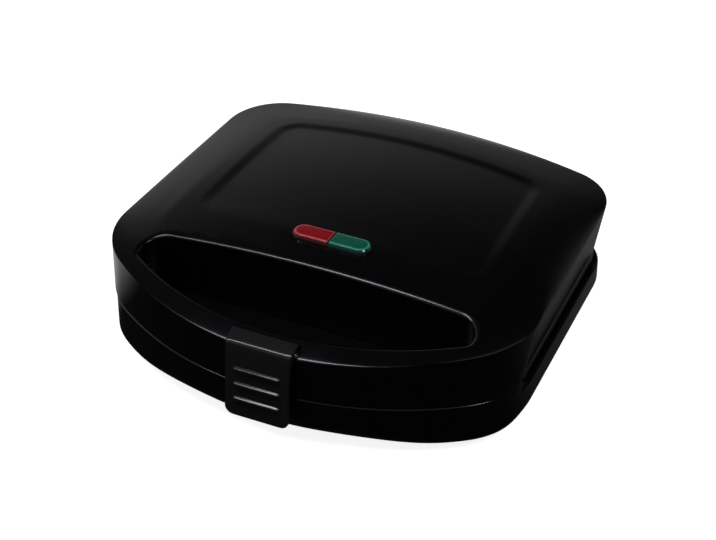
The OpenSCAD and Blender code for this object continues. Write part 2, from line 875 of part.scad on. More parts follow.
module lower_heat_shield() {
    color(bare_steel) in_base() shield_body();
}

module upper_heat_shield() {
    color(bare_steel) in_lid() shield_body();
}

// ---- lid inside -----------------------------------------------------------------------------------
screw_r = 1.1;
screw_head_r = 2.9;
screw_head_t = 1.2;
screw_l = 11;
post_r = 2.4;
post_x = plate_w / 2 + plate_side_gap + wall / 2;

notch_gap = 0.5;
notch_d = 20;
module lid_inner_frame() {
    color(satin_black) {
        difference() {
            union() {
                translate([0, 0, frame_z])
                    linear_extrude(frame_t)
                        polygon(flat(inset(cavity_line, seat_gap)));
                in_lid() ledge_ring();
                for (sx = [-1, 1], sy = [-1, 1]) {
                    translate([sx * post_x, plate_y + sy * ear_y, frame_z])
                        cylinder(r = post_r, h = upper_face_z - shield_z - seat_gap - frame_z);
                }
            }
            in_lid() ledge_cut();
            translate([0, 0, frame_z - past])
                linear_extrude(frame_t + 2 * past)
                    polygon(flat(inset(opening_line, -wall - seat_gap)));
            for (side = [-1, 1]) {
                translate([side * hinge_x - knuckle_l / 2 - notch_gap, hinge_y - lid_arm_in - notch_gap,
                    frame_z - past])
                    cube([knuckle_l + 2 * notch_gap, notch_d, frame_t + 2 * past]);
            }
            for (p = frame_screw_places()) {
                translate([p[0], p[1], frame_z - past])
                    cylinder(r = screw_r + 0.4, h = frame_t + 2 * past);
                translate([p[0], p[1], frame_z - past])
                    cylinder(r = screw_head_r + 0.3, h = past + screw_head_t);
            }
        }
    }
}

module lid_frame_screws() {
    color(bare_steel)
        for (p = frame_screw_places()) {
            translate([p[0], p[1], frame_z + 0.05]) {
                cylinder(r = screw_head_r, h = screw_head_t - 0.2);
                cylinder(r = screw_r, h = screw_l);
            }
        }
}

// Two-colour lens: each half is a bevelled bar with one round end, and a flange under the lid
lens_split = 0.1;
lens_top_z = crown(0, -lens_y) + lens_rise;
function lens_section() =
    [[0, lens_seat_z - lens_flange_t], [lens_half_w + lens_flange_w, lens_seat_z - lens_flange_t],
        [lens_half_w + lens_flange_w, lens_seat_z], [lens_half_w, lens_seat_z],
        [lens_half_w, lens_top_z - 1.9], [lens_half_w - 0.5, lens_top_z - 0.9],
        [lens_half_w - 2.2, lens_top_z], [0, lens_top_z]];

module lens_half(side) {
    straight = lens_half_l - lens_half_w;
    section = lens_section();
    n = len(section);
    translate([0, -lens_y, 0]) {
        translate([side > 0 ? lens_split / 2 : -straight, 0, 0])
            rotate([90, 0, 90])
                linear_extrude(straight - lens_split / 2)
                    polygon(concat(section, [for (i = [n - 2 : -1 : 1]) [-section[i][0], section[i][1]]]));
        translate([side * straight, 0, 0])
            rotate([0, 0, side > 0 ? -90 : 90])
                rotate_extrude(angle = 180)
                    polygon(section);
    }
}

module lens_red() {
    color([0.75, 0.06, 0.05, 0.8]) lens_half(-1);
}

module lens_green() {
    color([0.02, 0.5, 0.28, 0.8]) lens_half(1);
}

lamp_x = 11;
lamp_r = 2.5;
lamp_h = 5.5;
holder_floor_z = holder_top_z - holder_h + holder_t;
module lamp_holder() {
    cell_l = holder_half_l - 1.5 * holder_t;
    color(satin_black)
        translate([0, -lens_y, holder_top_z - holder_h])
            difference() {
                translate([-holder_half_l, -holder_half_w, 0])
                    cube([2 * holder_half_l, 2 * holder_half_w, holder_h]);
                for (side = [-1, 1]) {
                    translate([side * (cell_l + holder_t) / 2 - cell_l / 2, -holder_half_w + holder_t, holder_t])
                        cube([cell_l, 2 * (holder_half_w - holder_t), holder_h]);
                }
            }
}

module lamp(side) {
    translate([side * lamp_x, -lens_y, holder_floor_z + seat_gap])
        rotate_extrude()
            polygon(concat([[0, 0], [lamp_r + 0.5, 0], [lamp_r + 0.5, 0.8], [lamp_r, 0.8]],
                [for (a = [0 : 15 : 90])
                    [lamp_r * cos(a), lamp_h - lamp_r + lamp_r * sin(a)]]));
}

module lamp_red() {
    color([0.8, 0.2, 0.15]) lamp(-1);
}

module lamp_green() {
    color([0.2, 0.7, 0.35]) lamp(1);
}

// ---- latch ----------------------------------------------------------------------------------------
module latch_pin() {
    color(bare_steel)
        x_cylinder(-latch_pin_half_l, latch_pin_half_l, latch_axis_y, latch_axis_z, latch_pin_r);
}

// Side view of the latch's face, from its bend (0) to its lower end (1)
latch_bow = 0.8;
latch_face_steps = 10;
function latch_proud(t) =
    latch_proud_top + (latch_proud_low - latch_proud_top) * t + 4 * latch_bow * t * (1 - t);
function latch_face_z(t) = latch_bend_z + (latch_low_z - latch_bend_z) * t;
latch_back_y = -front_reach + 5.2;

module latch_plate() {
    ts = [for (i = [0 : latch_face_steps]) i / latch_face_steps];
    face = [for (t = ts) [-front_reach - latch_proud(t), latch_face_z(t)]];
    back = [for (i = [latch_face_steps : -1 : 0])
        [face[i][0] + latch_t, face[i][1] - (i == 0 ? 1.4 : 0)]];
    x0 = latch_half_w + past;
    intersection() {
        translate([-x0, 0, 0])
            rotate([90, 0, 90])
                linear_extrude(2 * x0)
                    polygon(concat([[latch_back_y, latch_top_z]], face, back,
                        [[latch_back_y, latch_top_z - latch_t]]));
        translate([0, latch_back_y + past, 0])
            rotate([90, 0, 0])
                linear_extrude(30)
                    latch_front_view();
    }
}

// Front view of the latch: slightly bowed sides and round lower corners
latch_waist = 0.7;
latch_corner_r = 5;
module latch_front_view() {
    w = latch_half_w;
    mid = (latch_top_z + latch_low_z) / 2;
    half = (latch_top_z - latch_low_z) / 2;
    side = [for (i = [-6 : 6])
        let (t = i / 6)
        [w - latch_waist * (1 - t * t), mid + t * half]];
    difference() {
        polygon(concat(side, [for (i = [12 : -1 : 0]) [-side[i][0], side[i][1]]]));
        for (k = [-1, 1]) {
            translate([k * (w - latch_corner_r), latch_low_z + latch_corner_r])
                difference() {
                    translate([k > 0 ? 0 : -10, -10])
                        square([10, 10]);
                    circle(r = latch_corner_r);
                }
        }
    }
}

rib_half_w = 13;
rib_h = 2;
rib_proud = 1.1;
rib_first_t = 0.33;
rib_step_t = 0.21;
module latch_ribs() {
    for (i = [0 : rib_count - 1]) {
        t = rib_first_t + i * rib_step_t;
        translate([0, -front_reach - latch_proud(t) + 0.6, latch_face_z(t)])
            rotate([90, 0, 0])
                linear_extrude(rib_proud + 0.6) {
                    square([2 * (rib_half_w - rib_h / 2), rib_h], center = true);
                    for (side = [-1, 1]) {
                        translate([side * (rib_half_w - rib_h / 2), 0])
                            circle(r = rib_h / 2);
                    }
                }
    }
}

hook_half_w = 10;
hook_t = 2.6;
hook_z = 19.6;
hook_reach = 4.8;
catch_play = 0.7;
module latch() {
    boss_half = well_half_w - 1.2;
    color(gloss_black)
        difference() {
            union() {
                latch_plate();
                latch_ribs();
                x_cylinder(-boss_half, boss_half, latch_axis_y, latch_axis_z, latch_boss_r);
                translate([-boss_half, 0, 0])
                    rotate([90, 0, 90])
                        linear_extrude(2 * boss_half)
                            polygon([[latch_axis_y, latch_axis_z - latch_boss_r],
                                [latch_axis_y, latch_top_z - latch_t],
                                [-front_reach - 1.6, latch_bend_z - 1],
                                [-front_reach - 2.2, latch_axis_z - latch_boss_r]]);
                translate([-hook_half_w, -front_reach - latch_proud(0.9) + latch_t / 2, hook_z])
                    cube([2 * hook_half_w, hook_reach + latch_proud(0.9) - latch_t / 2, hook_t]);
            }
            x_cylinder(-boss_half - past, boss_half + past, latch_axis_y, latch_axis_z,
                latch_pin_r + running_gap);
        }
}

// ---- base ---------------------------------------------------------------------------------------------
base_roll_w = 12.4;
base_roll_h = 9;
roll_angles = [0, 18, 36, 54, 72, 90];

base_line = inset_by(body_line, [for (p = body_line) base_at(p)]);
base_recess = [for (p = body_line) recess_at(p, deck_z)];
// Where the recess is shallower than the base's own step, nothing is cut
base_cut = [for (i = [0 : len(body_line) - 1])
    base_recess[i] > base_at(body_line[i]) + 0.1 ? base_recess[i] : -past];
base_inner_line = inset_by(body_line, [for (i = [0 : len(body_line) - 1])
    wall + max(base_at(body_line[i]), base_recess[i])]);

module base_outer() {
    loft(concat(
        [for (a = roll_angles)
            at_height(inset(base_line, base_roll_w * (1 - sin(a))), base_z + base_roll_h * (1 - cos(a)))],
        [at_height(base_line, deck_z)]));
}

deck_t = 2.6;
module base_cavity() {
    loft(concat(
        [at_height(inset(base_inner_line, base_roll_w), base_z - past)],
        [for (a = [0, 30, 60, 90])
            at_height(inset(base_inner_line, base_roll_w * (1 - sin(a))),
                base_z + wall * cos(a) + base_roll_h * (1 - cos(a)))],
        [at_height(base_inner_line, deck_z - deck_t)]));
}

cover_t = 2.2;
cover_z = base_z + 0.2;
cover_top_z = cover_z + cover_t;
cover_line = inset(base_inner_line, base_roll_w + seat_gap);
cover_boss_r = 3.4;
cover_screw_in = 33.8;
cover_screw_y = [-53, -front_reach + 28, rear_reach - 23.6];
function cover_screw_places() =
    [for (sx = [-1, 1]) each [
        [sx * (side_reach - cover_screw_in), cover_screw_y[0]],
        [sx * 30, cover_screw_y[1]],
        [sx * 28, cover_screw_y[2]]]];

module cover_bosses() {
    for (p = cover_screw_places()) {
        translate([p[0], p[1], cover_top_z + seat_gap])
            cylinder(r = cover_boss_r, h = deck_z - cover_top_z);
    }
}

// Supply inlet through the rear wall
inlet_z = 19.5;
inlet_bore_r = 3.4;
inlet_neck_r = 5.6;
inlet_flange_r = 7.4;
inlet_face_y = rear_reach - base_in;
inlet_wall_in = inlet_face_y - wall;

module base_lugs(side) {
    for (k = [-1, 1]) {
        mid = side * hinge_x + k * (knuckle_l / 2 + hinge_end_gap + lug_l / 2);
        difference() {
            union() {
                x_cylinder(mid - lug_l / 2, mid + lug_l / 2, hinge_y, hinge_z, barrel_r);
                translate([mid - lug_l / 2, 0, 0])
                    rotate([90, 0, 90])
                        linear_extrude(lug_l)
                            polygon([[hinge_y - lug_arm_in, deck_z - 0.2], [hinge_y, deck_z - 0.2],
                                [hinge_y + barrel_r * cos(50), hinge_z - barrel_r * sin(50)],
                                [hinge_y - lug_arm_in, hinge_z - barrel_r - 7]]);
            }
            x_cylinder(mid - lug_l / 2 - past, mid + lug_l / 2 + past, hinge_y, hinge_z,
                pin_r + running_gap);
        }
    }
}

// Channel along the foot of the recess wall
channel_front_y = -40;
channel_rear_y = 88;
module channel_cut() {
    intersection() {
        translate([60, channel_front_y, ledge_z - channel_depth])
            cube([80, channel_rear_y - channel_front_y, channel_depth + past]);
        outside_of(base_recess, ledge_z - channel_depth, ledge_z + past);
        translate([0, 0, ledge_z - channel_depth - past])
            linear_extrude(channel_depth + 3 * past)
                polygon(flat(inset_by(body_line, [for (d = base_recess) d - channel_w])));
    }
}

catch_z0 = 14.6;
catch_z1 = hook_z + hook_t + catch_play;
module catch_window() {
    translate([-hook_half_w - 0.8, -front_reach - 6, catch_z0])
        cube([2 * hook_half_w + 1.6, 14, catch_z1 - catch_z0]);
}

module base_housing() {
    color(gloss_black) {
        difference() {
            base_outer();
            difference() {
                base_cavity();
                in_base() ledge_ring();
                cover_bosses();
            }
            in_base() ledge_cut();
            outside_of(base_cut, ledge_z, deck_z + past);
            both_sides() channel_cut();
            catch_window();
            for (p = cover_screw_places()) {
                translate([p[0], p[1], cover_z])
                    cylinder(r = pilot_r, h = 14);
            }
            translate([0, inlet_wall_in - 10, inlet_z])
                rotate([-90, 0, 0])
                    cylinder(r = inlet_neck_r + 0.1, h = 20);
        }
        base_lugs(-1);
        base_lugs(1);
    }
}

// Feet: a disc with a waist through the cover and a head above it
foot_r = 8;
foot_neck_r = 2.8;
function foot_place(side, way) = [side * (way < 0 ? 74 : 80), way < 0 ? -62 : 72];

module foot(side, way) {
    p = foot_place(side, way);
    top = cover_z - seat_gap;
    head = cover_top_z + seat_gap;
    color([0.09, 0.09, 0.09])
        translate([p[0], p[1], 0])
            rotate_extrude()
                polygon([[0, 0], [foot_r - 1.4, 0], [foot_r - 0.4, 0.6], [foot_r, 1.8], [foot_r, top],
                    [foot_neck_r, top], [foot_neck_r, head], [foot_neck_r + 1.2, head],
                    [foot_neck_r, head + 0.8], [0, head + 0.8]]);
}

module foot_front_left() {
    foot(-1, -1);
}

module foot_front_right() {
    foot(1, -1);
}

module foot_rear_left() {
    foot(-1, 1);
}

module foot_rear_right() {
    foot(1, 1);
}

// Bottom cover with two fields of vent slots and pads under the heat shield
vent_rows = 7;
vent_pitch = 7;
vent_l = 34;
vent_w = 2.6;
shield_pad_r = 3.5;
shield_pad_in = 13;
shield_pad_back = 27;
module bottom_cover() {
    color(satin_black)
        difference() {
            union() {
                translate([0, 0, cover_z])
                    linear_extrude(cover_t)
                        polygon(flat(cover_line));
                for (sx = [-1, 1], sy = [-1, 1]) {
                    translate([sx * (plate_w / 2 - shield_pad_in), plate_y + sy * (plate_d / 2 - shield_pad_back), cover_z])
                        cylinder(r = shield_pad_r, h = lower_face_z + shield_z - shield_t - seat_gap - cover_z);
                }
            }
            for (sx = [-1, 1], row = [0 : vent_rows - 1]) {
                translate([sx * 40, plate_y + (row - (vent_rows - 1) / 2) * vent_pitch, cover_z - past])
                    linear_extrude(cover_t + 2 * past) {
                        square([vent_l - vent_w, vent_w], center = true);
                        for (k = [-1, 1]) {
                            translate([k * (vent_l - vent_w) / 2, 0])
                                circle(r = vent_w / 2);
                        }
                    }
            }
            for (sx = [-1, 1], way = [-1, 1]) {
                p = foot_place(sx, way);
                translate([p[0], p[1], cover_z - past])
                    cylinder(r = foot_neck_r + 0.2, h = cover_t + 2 * past);
            }
            for (p = cover_screw_places()) {
                translate([p[0], p[1], cover_z - past])
                    cylinder(r = screw_r + 0.4, h = cover_t + 2 * past);
            }
        }
}

module bottom_cover_screws() {
    color(bare_steel)
        for (p = cover_screw_places()) {
            translate([p[0], p[1], cover_z - 0.1]) {
                mirror([0, 0, 1])
                    cylinder(r = screw_head_r, h = 1.6);
                translate([0, 0, -past])
                    cylinder(r = screw_r, h = screw_l + past);
            }
        }
}

// ---- controls and supply ----------------------------------------------------------------------------
module thermostat() {
    top = lower_face_z + casting_z - seat_gap;
    color([0.83, 0.8, 0.72])
        translate([0, control_y, 0]) {
            translate([0, 0, top - 3.4])
                cylinder(r = 8, h = 3.4);
            translate([0, 0, top - 6])
                cylinder(r = 6.4, h = 3.4);
            translate([-10.5, -2.5, top - 4.8])
                cube([21, 5, 0.8]);
        }
}

fuse_r = 2.1;
fuse_l = 14;
lead_r = 0.6;
lead_l = 6;
module thermal_fuse() {
    z = lower_face_z + casting_z - seat_gap - fuse_r;
    color([0.85, 0.85, 0.82])
        translate([0, fuse_y - fuse_l / 2, z])
            rotate([-90, 0, 0]) {
                cylinder(r = fuse_r, h = fuse_l);
                translate([0, 0, -lead_l])
                    cylinder(r = lead_r, h = fuse_l + 2 * lead_l);
            }
}

block_w = 24;
block_d = 11;
block_h = 11;
block_y = rear_reach - 22.6;
module terminal_block() {
    color([0.88, 0.86, 0.8])
        translate([0, block_y, cover_top_z + seat_gap])
            difference() {
                translate([-block_w / 2, -block_d / 2, 0])
                    cube([block_w, block_d, block_h]);
                for (side = [-1, 1]) {
                    translate([side * block_w / 4, -block_d / 2 - past, block_h / 2])
                        rotate([-90, 0, 0])
                            cylinder(r = 2.2, h = block_d + 2 * past);
                    translate([side * block_w / 4, 0, block_h / 2])
                        cylinder(r = 1.6, h = block_h);
                }
                translate([-1, -block_d / 2 - past, block_h - 3])
                    cube([2, block_d + 2 * past, 4]);
            }
}

module cord_bushing() {
    y0 = inlet_wall_in - 0.5;
    y1 = inlet_face_y + 0.2;
    color(satin_black)
        translate([0, 0, inlet_z])
            rotate([-90, 0, 0])
                rotate_extrude()
                    polygon([[inlet_bore_r, y0 - 2.4], [inlet_neck_r + 0.2, y0 - 2.4], [inlet_neck_r + 1.2, y0],
                        [inlet_neck_r, y0], [inlet_neck_r, y1], [inlet_flange_r, y1],
                        [inlet_flange_r, y1 + 1.4], [inlet_flange_r - 1, y1 + 2.4], [inlet_bore_r, y1 + 2.4]]);
}

module hinge_pin(side) {
    half = knuckle_l / 2 + hinge_end_gap + lug_l;
    color(bare_steel)
        x_cylinder(side * hinge_x - half, side * hinge_x + half, hinge_y, hinge_z, pin_r);
}

module hinge_pin_left() {
    hinge_pin(-1);
}

module hinge_pin_right() {
    hinge_pin(1);
}

base_housing();
bottom_cover();
foot_front_left();
foot_front_right();
foot_rear_left();
foot_rear_right();
bottom_cover_screws();
lower_plate();
lower_plate_screws();
lower_element();
lower_element_clamps();
lower_heat_shield();
thermostat();
thermal_fuse();
terminal_block();
cord_bushing();
hinge_pin_left();
hinge_pin_right();
lid_housing();
lid_inner_frame();
lid_frame_screws();
upper_plate();
upper_plate_screws();
upper_element();
upper_element_clamps();
upper_heat_shield();
lens_red();
lens_green();
lamp_holder();
lamp_red();
lamp_green();
latch_pin();
latch();
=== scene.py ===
# %% [markdown]
# # A two-slice sandwich toaster, dressed for its picture
# This lesson dresses a finished machine model in Blender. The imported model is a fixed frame: it
# says where every piece lies and which body it moves with. Here the moulded housings get their full
# smoothness, and every piece gets a surface that is built from nodes.
# All places are in metres. The origin is under the middle of the part, on the table. +X is right,
# +Y is the hinge side and +Z is up.

# %% Load the frame
import math

import bmesh
import bpy
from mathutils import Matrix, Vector


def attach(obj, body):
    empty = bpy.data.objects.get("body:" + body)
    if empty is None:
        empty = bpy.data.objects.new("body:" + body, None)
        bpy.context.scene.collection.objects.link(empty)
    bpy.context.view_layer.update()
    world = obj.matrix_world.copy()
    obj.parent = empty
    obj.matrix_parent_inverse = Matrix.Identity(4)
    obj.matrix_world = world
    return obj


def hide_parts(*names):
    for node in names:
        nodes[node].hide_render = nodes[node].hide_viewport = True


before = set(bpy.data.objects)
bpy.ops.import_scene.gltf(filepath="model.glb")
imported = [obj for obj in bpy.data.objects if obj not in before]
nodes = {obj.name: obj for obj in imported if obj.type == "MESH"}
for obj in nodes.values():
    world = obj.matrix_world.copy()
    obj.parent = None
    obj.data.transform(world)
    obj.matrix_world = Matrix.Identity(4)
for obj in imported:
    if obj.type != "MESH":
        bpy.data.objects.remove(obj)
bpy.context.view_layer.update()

# %% [markdown]
# ## Sizes
# The housings are drawn in millimetres, as the tool maker's drawing would have them, and every
# point is scaled to metres when it becomes a vertex. These are the values of the machine model,
# repeated here because this script reads nothing but the frame.

# %% Sizes of the housings, in millimetres
MM = 0.001
FRONT, REAR, SIDE, TAPER = 110.0, 112.6, 115.8, 3.0
BOW_FRONT, BOW_REAR = 165.0, 345.0
CORNER_FRONT, CORNER_REAR = 48.0, 33.0
BASE_Z, DECK_Z, SEAM = 4.5, 30.5, 0.6
LID_Z = DECK_Z + SEAM
RIM_FRONT_Z, RIM_SIDE_Z, RIM_FALL_Y = 54.0, 60.5, -55.0
CROWN_Z, CROWN_DX, CROWN_DY, CROWN_Y = 73.0, 6.0, 9.4, 18.4
SHOULDER = 30.0
WALL = 2.6
print(f"housing: {2 * SIDE:.1f} mm wide at its widest and {FRONT + REAR:.1f} mm deep")


# %% [markdown]
# ## Outlines
# Seen from above, the body is a bowed rectangle: a bow in front, round corners, two side walls that
# draw in towards the back, and a flatter bow behind. Arcs that touch one another give that line
# without any kink, which a glossy wall would show at once. Each point keeps its outward direction,
# so the same line can be drawn in by any distance.

# %% Outline helpers
def arc(centre, radius, start, end, count):
    """Points on an arc with their outward directions; the last point is left to the next piece."""
    angles = [start + (end - start) * i / count for i in range(count)]
    return [(centre[0] + radius * math.cos(a), centre[1] + radius * math.sin(a),
             math.cos(a), math.sin(a)) for a in angles]


def corner_centre(bow_y, bow_r, side, taper, radius, way):
    """Centre of a corner circle that touches the side wall and, from inside, the bow."""
    normal = Vector((math.cos(taper), math.sin(taper)))
    along = Vector((-math.sin(taper), math.cos(taper)))
    reach = normal * (side - radius) - Vector((0, bow_y))
    run = -reach.dot(along) + way * math.sqrt(
        reach.dot(along) ** 2 - reach.dot(reach) + (bow_r - radius) ** 2)
    return normal * (side - radius) + along * run


def outline(front, bow_front, side, taper, rear, bow_rear, corner_front, corner_rear,
            counts=(26, 20, 44, 18, 12)):
    """A closed bowed outline as (x, y, outward x, outward y), right half first."""
    taper = math.radians(taper)
    low, high = Vector((0, bow_front - front)), Vector((0, rear - bow_rear))
    c1 = corner_centre(low.y, bow_front, side, taper, corner_front, -1)
    c2 = corner_centre(high.y, bow_rear, side, taper, corner_rear, 1)
    a1 = math.atan2((c1 - low).y, (c1 - low).x)
    a2 = math.atan2((c2 - high).y, (c2 - high).x)
    out = Vector((math.cos(taper), math.sin(taper)))
    p, q = c1 + out * corner_front, c2 + out * corner_rear
    half = arc(low, bow_front, -math.pi / 2, a1, counts[0])
    half += arc(c1, corner_front, a1, taper, counts[1])
    half += [(*(p + (q - p) * i / counts[2]), *out) for i in range(counts[2])]
    half += arc(c2, corner_rear, taper, a2, counts[3])
    half += arc(high, bow_rear, a2, math.pi / 2, counts[4])
    half.append((0.0, rear, 0.0, 1.0))
    return half + [(-x, y, -nx, ny) for x, y, nx, ny in half[-2:0:-1]]


def drawn_in(line, distance):
    """The outline moved inwards, by one distance or by one for each point."""
    each = distance if isinstance(distance, list) else [distance] * len(line)
    return [(x - nx * d, y - ny * d, nx, ny) for (x, y, nx, ny), d in zip(line, each)]


def level(line, z):
    """The outline as a ring of points at one height."""
    return [(p[0], p[1], z) for p in line]


def ease(value, start, end):
    """A smooth step from 0 to 1."""
    t = min(1.0, max(0.0, (value - start) / (end - start)))
    return t * t * (3 - 2 * t)


body_line = outline(FRONT, BOW_FRONT, SIDE, TAPER, REAR, BOW_REAR, CORNER_FRONT, CORNER_REAR)
print("outline:", len(body_line), "points")

# %% [markdown]
# ## One way to make a moulded shell
# A moulded shell has no flat face, so it isn't carved from a block. A circle primitive becomes the
# lowest ring of the shell. It is extruded again and again, and each new ring is set onto its section
# of the form. This is lofting by hand, and it keeps the mesh in clean rings of four-sided faces.


# %% Shell and cutting helpers
def deselect():
    if bpy.context.object and bpy.context.object.mode != "OBJECT":
        bpy.ops.object.mode_set(mode="OBJECT")
    bpy.ops.object.select_all(action="DESELECT")


def make_active(piece):
    deselect()
    piece.select_set(True)
    bpy.context.view_layer.objects.active = piece


def settle(piece):
    """Puts the piece's place into its mesh, so that its object sits at the origin."""
    make_active(piece)
    bpy.ops.object.transform_apply(location=True, rotation=True, scale=True)
    return piece


def loft(name, rings, pole=True):
    """A closed solid through rings of points in millimetres, ended by a point or by a face."""
    deselect()
    bpy.ops.mesh.primitive_circle_add(vertices=len(rings[0]), radius=1, fill_type="NOTHING")
    piece = bpy.context.object
    piece.name = piece.data.name = name
    bpy.ops.object.mode_set(mode="EDIT")
    mesh = bmesh.from_edit_mesh(piece.data)
    mesh.verts.ensure_lookup_table()
    order = list(range(len(rings[0])))
    for i, point in zip(order, rings[0]):
        mesh.verts[i].co = Vector(point) * MM
    bpy.ops.mesh.edge_face_add()
    for number, ring in enumerate(rings[1:]):
        if number:
            bpy.ops.mesh.extrude_edges_move()
        else:
            mesh = bmesh.from_edit_mesh(piece.data)
            for face in mesh.faces:
                face.select = False
            for edge in mesh.edges:
                edge.select = True
            bpy.ops.mesh.extrude_edges_move()
        mesh = bmesh.from_edit_mesh(piece.data)
        mesh.verts.ensure_lookup_table()
        old = {mesh.verts[i]: k for k, i in enumerate(order)}
        new_order = [0] * len(order)
        for vert in mesh.verts:
            if vert.select:
                for edge in vert.link_edges:
                    k = old.get(edge.other_vert(vert))
                    if k is not None:
                        new_order[k] = vert.index
        order = new_order
        for i, point in zip(order, ring):
            mesh.verts[i].co = Vector(point) * MM
    if pole:
        bpy.ops.mesh.extrude_edges_move()
        bpy.ops.mesh.merge(type="CENTER")
    else:
        bpy.ops.mesh.edge_face_add()
    bpy.ops.mesh.select_all(action="SELECT")
    bpy.ops.mesh.normals_make_consistent(inside=False)
    bpy.ops.object.mode_set(mode="OBJECT")
    return settle(piece)


def combine(piece, others, operation):
    """Joins or cuts with a Boolean modifier and applies it; the other pieces are used up."""
    for other in others:
        make_active(piece)
        modifier = piece.modifiers.new("combine", "BOOLEAN")
        modifier.operation = operation
        modifier.solver = "MANIFOLD"
        modifier.object = other
        bpy.ops.object.modifier_apply(modifier=modifier.name)
        bpy.data.objects.remove(other)
    return piece


def cut(piece, *others):
    return combine(piece, others, "DIFFERENCE")


def join(piece, *others):
    return combine(piece, others, "UNION")


def apply(piece, kind, **values):
    """Adds one modifier, sets its values and applies it."""
    make_active(piece)
    modifier = piece.modifiers.new(kind.lower(), kind)
    for key, value in values.items():
        setattr(modifier, key, value)
    bpy.ops.object.modifier_apply(modifier=modifier.name)
    return piece


def block(name, low, high):
    """A rectangular cutter or core between two corners in millimetres."""
    deselect()
    low, high = Vector(low) * MM, Vector(high) * MM
    bpy.ops.mesh.primitive_cube_add(size=1, location=(low + high) / 2, scale=high - low)
    bpy.context.object.name = name
    return settle(bpy.context.object)


def rod(name, start, end, radius, sides=48):
    """A round bar or bore between two points in millimetres."""
    deselect()
    start, end = Vector(start), Vector(end)
    run = end - start
    bpy.ops.mesh.primitive_cylinder_add(
        vertices=sides, radius=radius * MM, depth=run.length * MM, location=(start + end) / 2 * MM,
        rotation=run.to_track_quat("Z", "Y").to_euler())
    bpy.context.object.name = name
    return settle(bpy.context.object)


def prism(name, points, x0, x1):
    """A profile in the Y-Z plane, in millimetres, extruded along X."""
    ring = [(x0, y, z) for y, z in points]
    return loft(name, [ring, [(x1, y, z) for y, z in points]], pole=False)


def slab(name, line, z0, z1):
    """An outline extruded from one height to another."""
    return loft(name, [level(line, z0), level(line, z1)], pole=False)


def stadium(half_length, half_width, inset, steps=12):
    """A bar with round ends in its own plane, as (along, across)."""
    radius = half_width - inset
    points = []
    for centre, start in ((half_length - half_width, -90), (half_width - half_length, 90)):
        for i in range(steps + 1):
            a = math.radians(start + 180 * i / steps)
            points.append((centre + radius * math.cos(a), radius * math.sin(a)))
    return points


def finish_surface(piece, angle=32):
    """Smooth shading that keeps the real edges sharp."""
    make_active(piece)
    bpy.ops.object.shade_smooth_by_angle(angle=math.radians(angle))
    faces = len(piece.data.polygons)
    low = min((v.co.z for v in piece.data.vertices), default=0) / MM
    high = max((v.co.z for v in piece.data.vertices), default=0) / MM
    print(f"{piece.name}: {faces} faces, {low:.1f} to {high:.1f} mm high")
    return piece


# %% [markdown]
# ## The lid's top
# The lid is a shallow crown. Its shoulder is a quarter of an ellipse that rises from the rim, and a
# panel is sunk into it, deep at the back and fading out towards the front. One function gives the
# height at any place, so the skin, the inner side and the cutters all follow the same surface.


# %% Height of the lid's top
def crown(x, y):
    return CROWN_Z - CROWN_DX * (x / 100) ** 2 - CROWN_DY * ((y - CROWN_Y) / 100) ** 2


def rim_z(y):
    share = max(0.0, RIM_FALL_Y - y) / (FRONT + RIM_FALL_Y)
    return RIM_SIDE_Z - (RIM_SIDE_Z - RIM_FRONT_Z) * share ** 2


def shoulder_share(distance):
    return math.sqrt(1 - (1 - min(distance, SHOULDER) / SHOULDER) ** 2)


def on_top(x, y, distance, rim_y, sink=0.0):
    """A point of the lid's top at a distance in from the outline."""
    low = rim_z(rim_y)
    return (x, y, low + (crown(x, y) - low) * shoulder_share(distance) - sink)


def shoulder_ring(distance, sink=0.0):
    return [on_top(x - nx * distance, y - ny * distance, distance, y, sink)
            for x, y, nx, ny in body_line]


print(f"lid's top: {crown(0, CROWN_Y):.1f} mm high, and its rim {rim_z(-FRONT):.1f} mm in front")

# %% The sunken panel
PANEL_HALF, PANEL_REAR, PANEL_FRONT = 82.5, 81.0, 34.0
PANEL_DEPTH, PANEL_STEP, PANEL_FADE = 0.85, 8.0, 65.0
PANEL_MID = (PANEL_REAR - PANEL_FRONT) / 2
PANEL_BOW_FRONT, PANEL_BOW_REAR = 900.0, 420.0
PANEL_CORNER_FRONT, PANEL_CORNER_REAR = 14.0, 16.0
LAST_RING = 20.0
panel_line = outline(PANEL_FRONT, PANEL_BOW_FRONT, PANEL_HALF, TAPER, PANEL_REAR, PANEL_BOW_REAR,
                     PANEL_CORNER_FRONT, PANEL_CORNER_REAR)


def panel_share(y):
    """Share of the panel's full depth: nothing in front, with a soft start, and all of it behind."""
    t = min(1.0, max(0.0, y + PANEL_FRONT) / PANEL_FADE)
    return t * (2 - t) * ease(t, 0, 0.3)


def blend_ring(share, sink=0.0):
    """A ring between the shoulder's last ring and the panel's outer edge."""
    ring = []
    for (x, y, nx, ny), q in zip(body_line, panel_line):
        start = Vector((x - nx * LAST_RING, y - ny * LAST_RING))
        step = (Vector(q[:2]) - start) * share
        place = start + step
        ring.append(on_top(place.x, place.y, LAST_RING + step.length, y, sink))
    return ring


def panel_ring(step, scale, floor, sink=0.0):
    """A ring of the panel; step is its share of the step's width."""
    ring = []
    for x, y, nx, ny in drawn_in(panel_line, step * PANEL_STEP):
        x, y = x * scale, PANEL_MID + (y - PANEL_MID) * scale
        ring.append((x, y, crown(x, y) - floor * PANEL_DEPTH * panel_share(y) - sink))
    return ring


print(f"panel: {2 * PANEL_HALF:.0f} mm wide, {PANEL_DEPTH} mm deep at the back")

# %% [markdown]
# ## The side recess
# On both sides the walls of lid and base lean inwards to the seam, which leaves a long groove that
# starts with a soft ramp behind the front corner and ends round the rear corner. The same function
# draws in the rings of both housings, so that they meet at the seam.

